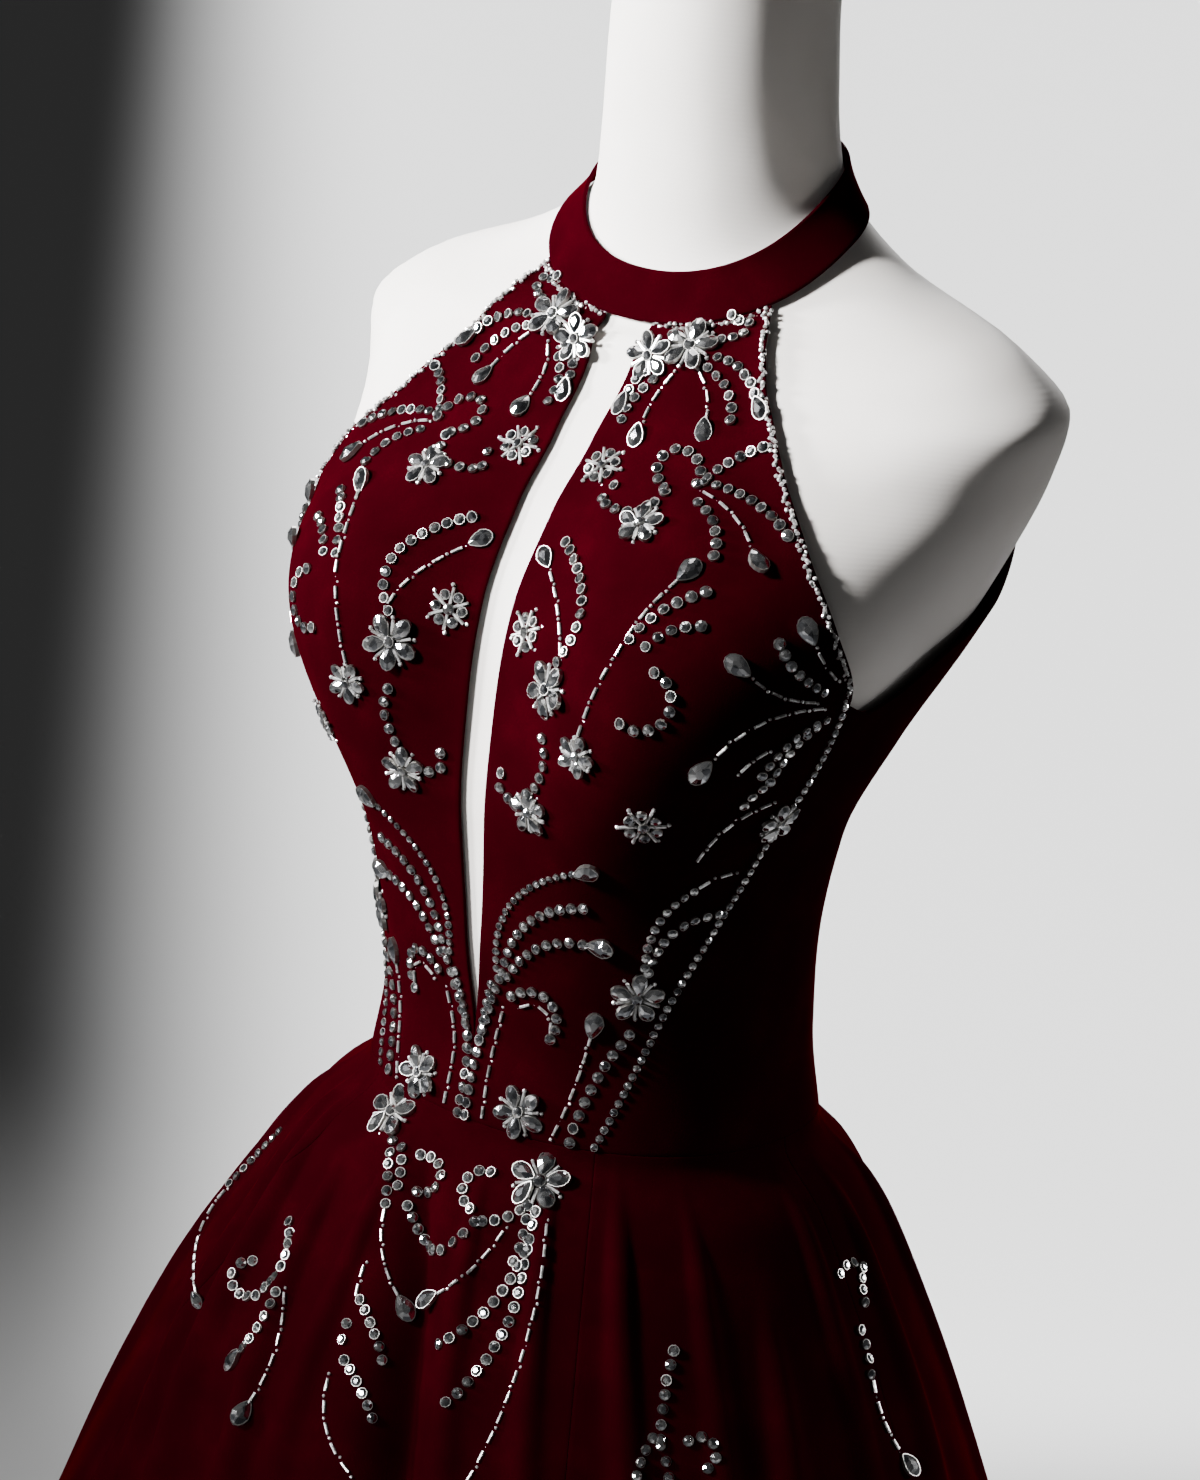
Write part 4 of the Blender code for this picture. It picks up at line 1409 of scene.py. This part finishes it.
def crystal_row(beading, spots, first, last):
    """Cup-set crystals in a row, from the first size to the last, about a quarter of a stone apart."""
    places = walked(spots, (first + last) / 2 * CRYSTAL_PITCH_SHARE / 1000)
    for step, spot in enumerate(places):
        share = step / max(len(places) - 1, 1)
        beading.set_bead("crystal", spot, first + (last - first) * share, turn=step * CRYSTAL_TURN)


def bugle_row(beading, spots):
    """Bugles with a seed bead between each two."""
    for step, spot in enumerate(walked(spots, BUGLE_PITCH)):
        if step % 2:
            beading.set_bead("bugle", spot, BUGLE_WIDTH, length=BUGLE_LENGTH)
        else:
            beading.set_bead("seed", spot, BUGLE_ROW_SEED)


def lay_row(beading, kind, spots, first, last, tip):
    """A row of one kind, with a drop at its end where tip gives the drop's width."""
    if kind == "crystals":
        crystal_row(beading, spots, first, last)
    else:
        bugle_row(beading, spots)
    if tip and len(spots) > 1:
        way = spots[-1][0] - spots[-2][0]
        beyond = spots[-1][0] + way.normalized() * tip * TIP_REACH_SHARE / 1000
        beading.set_bead("drop", Spot(beyond, spots[-1][1], way), tip)


def set_on_arm(beading, kind, arm, out, reach, size, length=None, lift=0.0):
    """Sets a bead along a motif's arm, with its middle this many millimetres out and lift metres up."""
    way = arm.to_3x3() @ Vector((1, 0, 0))
    spot = Spot(arm @ Vector((reach / 1000, 0, lift)), out, way)
    beading.set_bead(kind, spot, size, length=length)


def lay_flower(beading, hit, out, size, turn):
    """Five petals round a crystal, with bugles and seeds that stand between them."""
    for step in range(FLOWER_PETALS):
        angle = math.radians(turn) + math.tau * step / FLOWER_PETALS
        arm = axes_at(hit, out, (0, 0, 1)) @ Matrix.Rotation(angle, 4, "Z")
        set_on_arm(beading, "petal", arm, out, size * 0.30, size * 0.30, lift=FLOWER_LIFT)
        ray = arm @ Matrix.Rotation(math.pi / FLOWER_PETALS, 4, "Z")
        bugle = size * 0.26
        set_on_arm(beading, "bugle", ray, out, bugle, MOTIF_BUGLE_WIDTH, bugle, FLOWER_BUGLE_LIFT)
        set_on_arm(beading, "seed", ray, out, size * 0.43, MOTIF_SEED, lift=FLOWER_LIFT)
    centre = Spot(hit, out, Vector((0, 0, 1)))
    beading.set_bead("crystal", centre, size * 0.22, lift=FLOWER_CENTRE_LIFT_MM)


def lay_burst(beading, hit, out, size, turn):
    """Six round crystals in a star, with rays of bugles between them."""
    leaned = axes_at(hit, out, (0, 0, 1)) @ Matrix.Rotation(math.radians(turn), 4, "Z")
    for step in range(BURST_ARMS):
        arm = leaned @ Matrix.Rotation(math.tau * step / BURST_ARMS, 4, "Z")
        set_on_arm(beading, "crystal", arm, out, size * 0.30, size * 0.23)
        ray = arm @ Matrix.Rotation(math.pi / BURST_ARMS, 4, "Z")
        set_on_arm(beading, "bugle", ray, out, size * 0.28, MOTIF_BUGLE_WIDTH, size * 0.34)
        set_on_arm(beading, "seed", ray, out, size * 0.50, MOTIF_SEED)
    centre = Spot(hit, out, Vector((0, 0, 1)))
    beading.set_bead("crystal", centre, size * 0.24, lift=BURST_CENTRE_LIFT_MM)


def bead_area(beading, tree, strokes, curls, flowers, bursts, both_sides):
    """Lays one area's rows, curls, flowers and stars, and mirrors them where both sides carry them."""
    sides = [lambda spots: spots]
    if both_sides:
        sides.append(lambda spots: mirrored(tree, spots))
    for side in sides:
        for stroke in strokes:
            spots = side(seen_spots(tree, bowed(stroke)))
            lay_row(beading, stroke.kind, spots, stroke.first, stroke.last, stroke.tip)
        for curl in curls:
            lay_row(beading, curl.kind, side(seen_spots(tree, curled(curl))), curl.size, curl.size, 0)
        motifs = [(flower, lay_flower) for flower in flowers] + [(burst, lay_burst) for burst in bursts]
        for motif, lay in motifs:
            for hit, out in side(seen_spots(tree, [(motif.x, motif.y)])):
                lay(beading, hit, out, motif.size, motif.turn)


def edge_spots(place, side):
    """Places on the front's outer side along an edge, whose u and v place gives over its length."""
    u, v = place(np.linspace(0.0, 1.0, EDGE_PLACES))
    angle, height = front_place(u, v)
    way = outward(on_figure, angle, height)
    mirror = np.array([side, 1, 1])
    points = (on_figure(angle, height) + way * (front_ease(u, v) + CLOTH)[:, None]) * mirror
    return [(Vector(point), Vector(out)) for point, out in zip(points, way * mirror)]


def rope_along(beading, spots):
    """A close rope of beads, about 3 mm wide."""
    for step, spot in enumerate(walked(spots, ROPE_PITCH)):
        placing = axes_at(spot.point, spot.out, spot.along)
        moved = placing @ Vector((0, (step % 2 - 0.5) * ROPE_STAGGER, 0.0))
        beading.set_bead("seed", Spot(moved, spot.out, spot.along), ROPE_SEED)


def armhole_line(t):
    """Where on the front panel the armhole's rope lies, over its length."""
    return ARMHOLE_ROPE_ACROSS + 0 * t, SEAM_SHARE + (1 - SEAM_SHARE) * ARMHOLE_ROPE_END * t


def top_line(t):
    """Where the upper edge's rope lies."""
    return TOP_ROPE_START + TOP_ROPE_RUN * t, TOP_ROPE_UP + 0 * t


def seam_line(t):
    """Where the slanting seam's chain of stones lies."""
    return CHAIN_ACROSS + 0 * t, SEAM_SHARE * (CHAIN_START + CHAIN_RUN * t)


def edge_beading(beading):
    """The ropes along the armholes and the upper edges, and the chain of stones down the slanting seams."""
    for side in (1, -1):
        rope_along(beading, edge_spots(armhole_line, side))
        rope_along(beading, edge_spots(top_line, side))
        crystal_row(beading, edge_spots(seam_line, side), CHAIN_STONE, CHAIN_STONE)


def make_beading():
    """All the beading of the bodice's front and the skirt."""
    tree = cloth_tree(gown.values())
    bodice = Beading("bodice_beading")
    bead_area(bodice, tree, FRONT_STROKES, FRONT_CURLS, FRONT_FLOWERS, FRONT_BURSTS, True)
    skirt = Beading("skirt_beading")
    bead_area(skirt, tree, SKIRT_STROKES, SKIRT_CURLS, SKIRT_FLOWERS, [], False)
    edges = Beading("edge_beading")
    edge_beading(edges)
    for beading in (bodice, skirt, edges):
        beading.join(BEAD_MATERIALS)


make_beading()


# Light and floor

FLOOR_REACH = 60.0
WORLD_STRENGTH = 0.032
WASH_TILT = math.radians(15)
WASH_TURN = math.radians(7.0)
WASH_LEFT = -0.08
WASH_ENDS = (1.0, 3.2, 7.0, 14.0, 24.0, 37.0)
WASH_WIDTH = 0.8
WASH_WIDENING = 0.31
WASH_HEIGHT = 1.85
WASH_SPREAD = 16
WASH_POWER = 9.0

# The viewer's directions over the floor, and the places on the gown that the lamps are set from and aimed at
AHEAD = Vector((FORWARD.x, FORWARD.y, 0)).normalized()
ASIDE = Vector((AHEAD.y, -AHEAD.x, 0))
HIGH = Vector((0, 0, 1))
AT_HEM = Vector((0, 0, 0.2))
AT_KNEE = Vector((0, 0, 0.35))
AT_HIP = Vector((0, 0, 0.9))
AT_NECK = Vector((0, 0, 1.38))

# A lamp's way gives its shares to the viewer's right, ahead and up. Its spread is in degrees.
Lamp = namedtuple("Lamp", "name origin way distance aim across size power spread")
LAMPS = [
    Lamp("key", AT_NECK, (-0.852, -0.310, 0.423), 2.6, AT_NECK, AHEAD, (0.4, 0.4), 7.8, 27),
    Lamp("side_light", AT_NECK, (-0.981, 0.086, 0.174), 2.6, AT_NECK, HIGH, (0.4, 0.4), 6, 28),
    Lamp("back_light", AT_HIP, (0.1, 0.95, 0.5), 3.0, AT_HIP, HIGH, (1.6, 2.0), 30, 80),
    Lamp("hem_light", AT_HIP, (-0.5, -0.85, 0.28), 3.0, AT_HEM, HIGH, (0.8, 0.8), 4, 26),
    Lamp("skirt_light", AT_HIP, (0.95, 0.35, 0.15), 2.8, AT_KNEE, HIGH, (0.8, 0.8), 6.5, 32),
]


def area_light(name, place, aim, across, size, power, spread):
    """A soft light of this size at a place, shining towards an aim within a spread given in degrees."""
    data = bpy.data.lights.new(name, "AREA")
    data.shape = "RECTANGLE"
    data.size, data.size_y = size
    data.energy = power
    data.spread = math.radians(spread)
    light = bpy.data.objects.new(name, data)
    light.matrix_world = axes_at(place, place - aim, across)
    bpy.context.scene.collection.objects.link(light)


def make_floor():
    """A plain pale floor."""
    bm = bmesh.new()
    bmesh.ops.create_grid(bm, x_segments=1, y_segments=1, size=FLOOR_REACH)
    mesh = bpy.data.meshes.new("floor")
    bm.to_mesh(mesh)
    bm.free()
    material, shader = new_material("painted_floor")
    fill(material, shader, {"Base Color": linear("#ececec"), "Roughness": 0.8})
    mesh.materials.append(material)
    floor = bpy.data.objects.new("floor", mesh)
    bpy.context.scene.collection.objects.link(floor)


def make_lamps():
    """A key from the viewer's upper left, and lights from the sides and behind."""
    for lamp in LAMPS:
        aside, ahead, high = lamp.way
        place = lamp.origin + (ASIDE * aside + AHEAD * ahead + HIGH * high) * lamp.distance
        area_light(lamp.name, place, lamp.aim, lamp.across, lamp.size, lamp.power, lamp.spread)


def make_floor_wash():
    """Lights in one sloping plane that light the floor and leave the viewer's left dark.

    They share one left edge and are wider the further off they are.
    """
    along = AHEAD * math.cos(WASH_TURN) - ASIDE * math.sin(WASH_TURN)
    across = ASIDE * math.cos(WASH_TURN) + AHEAD * math.sin(WASH_TURN)
    below = along * math.sin(WASH_TILT) - HIGH * math.cos(WASH_TILT)
    for step, (first, last) in enumerate(zip(WASH_ENDS, WASH_ENDS[1:])):
        middle = (first + last) / 2
        width = WASH_WIDTH + last * WASH_WIDENING
        place = ASIDE * WASH_LEFT + along * middle + across * width / 2
        place += HIGH * (WASH_HEIGHT + middle * math.tan(WASH_TILT))
        length = (last - first) / math.cos(WASH_TILT)
        power = width * length * WASH_POWER
        area_light(f"floor_wash_{step}", place, place + below, across, (width, length), power, WASH_SPREAD)


def make_world():
    """Faint even light from all round."""
    world = bpy.data.worlds.new("studio")
    world.use_nodes = True
    background = world.node_tree.nodes["Background"]
    background.inputs["Color"].default_value = (1.0, 1.0, 1.0, 1.0)
    background.inputs["Strength"].default_value = WORLD_STRENGTH
    bpy.context.scene.world = world


make_floor()
make_lamps()
make_floor_wash()
make_world()
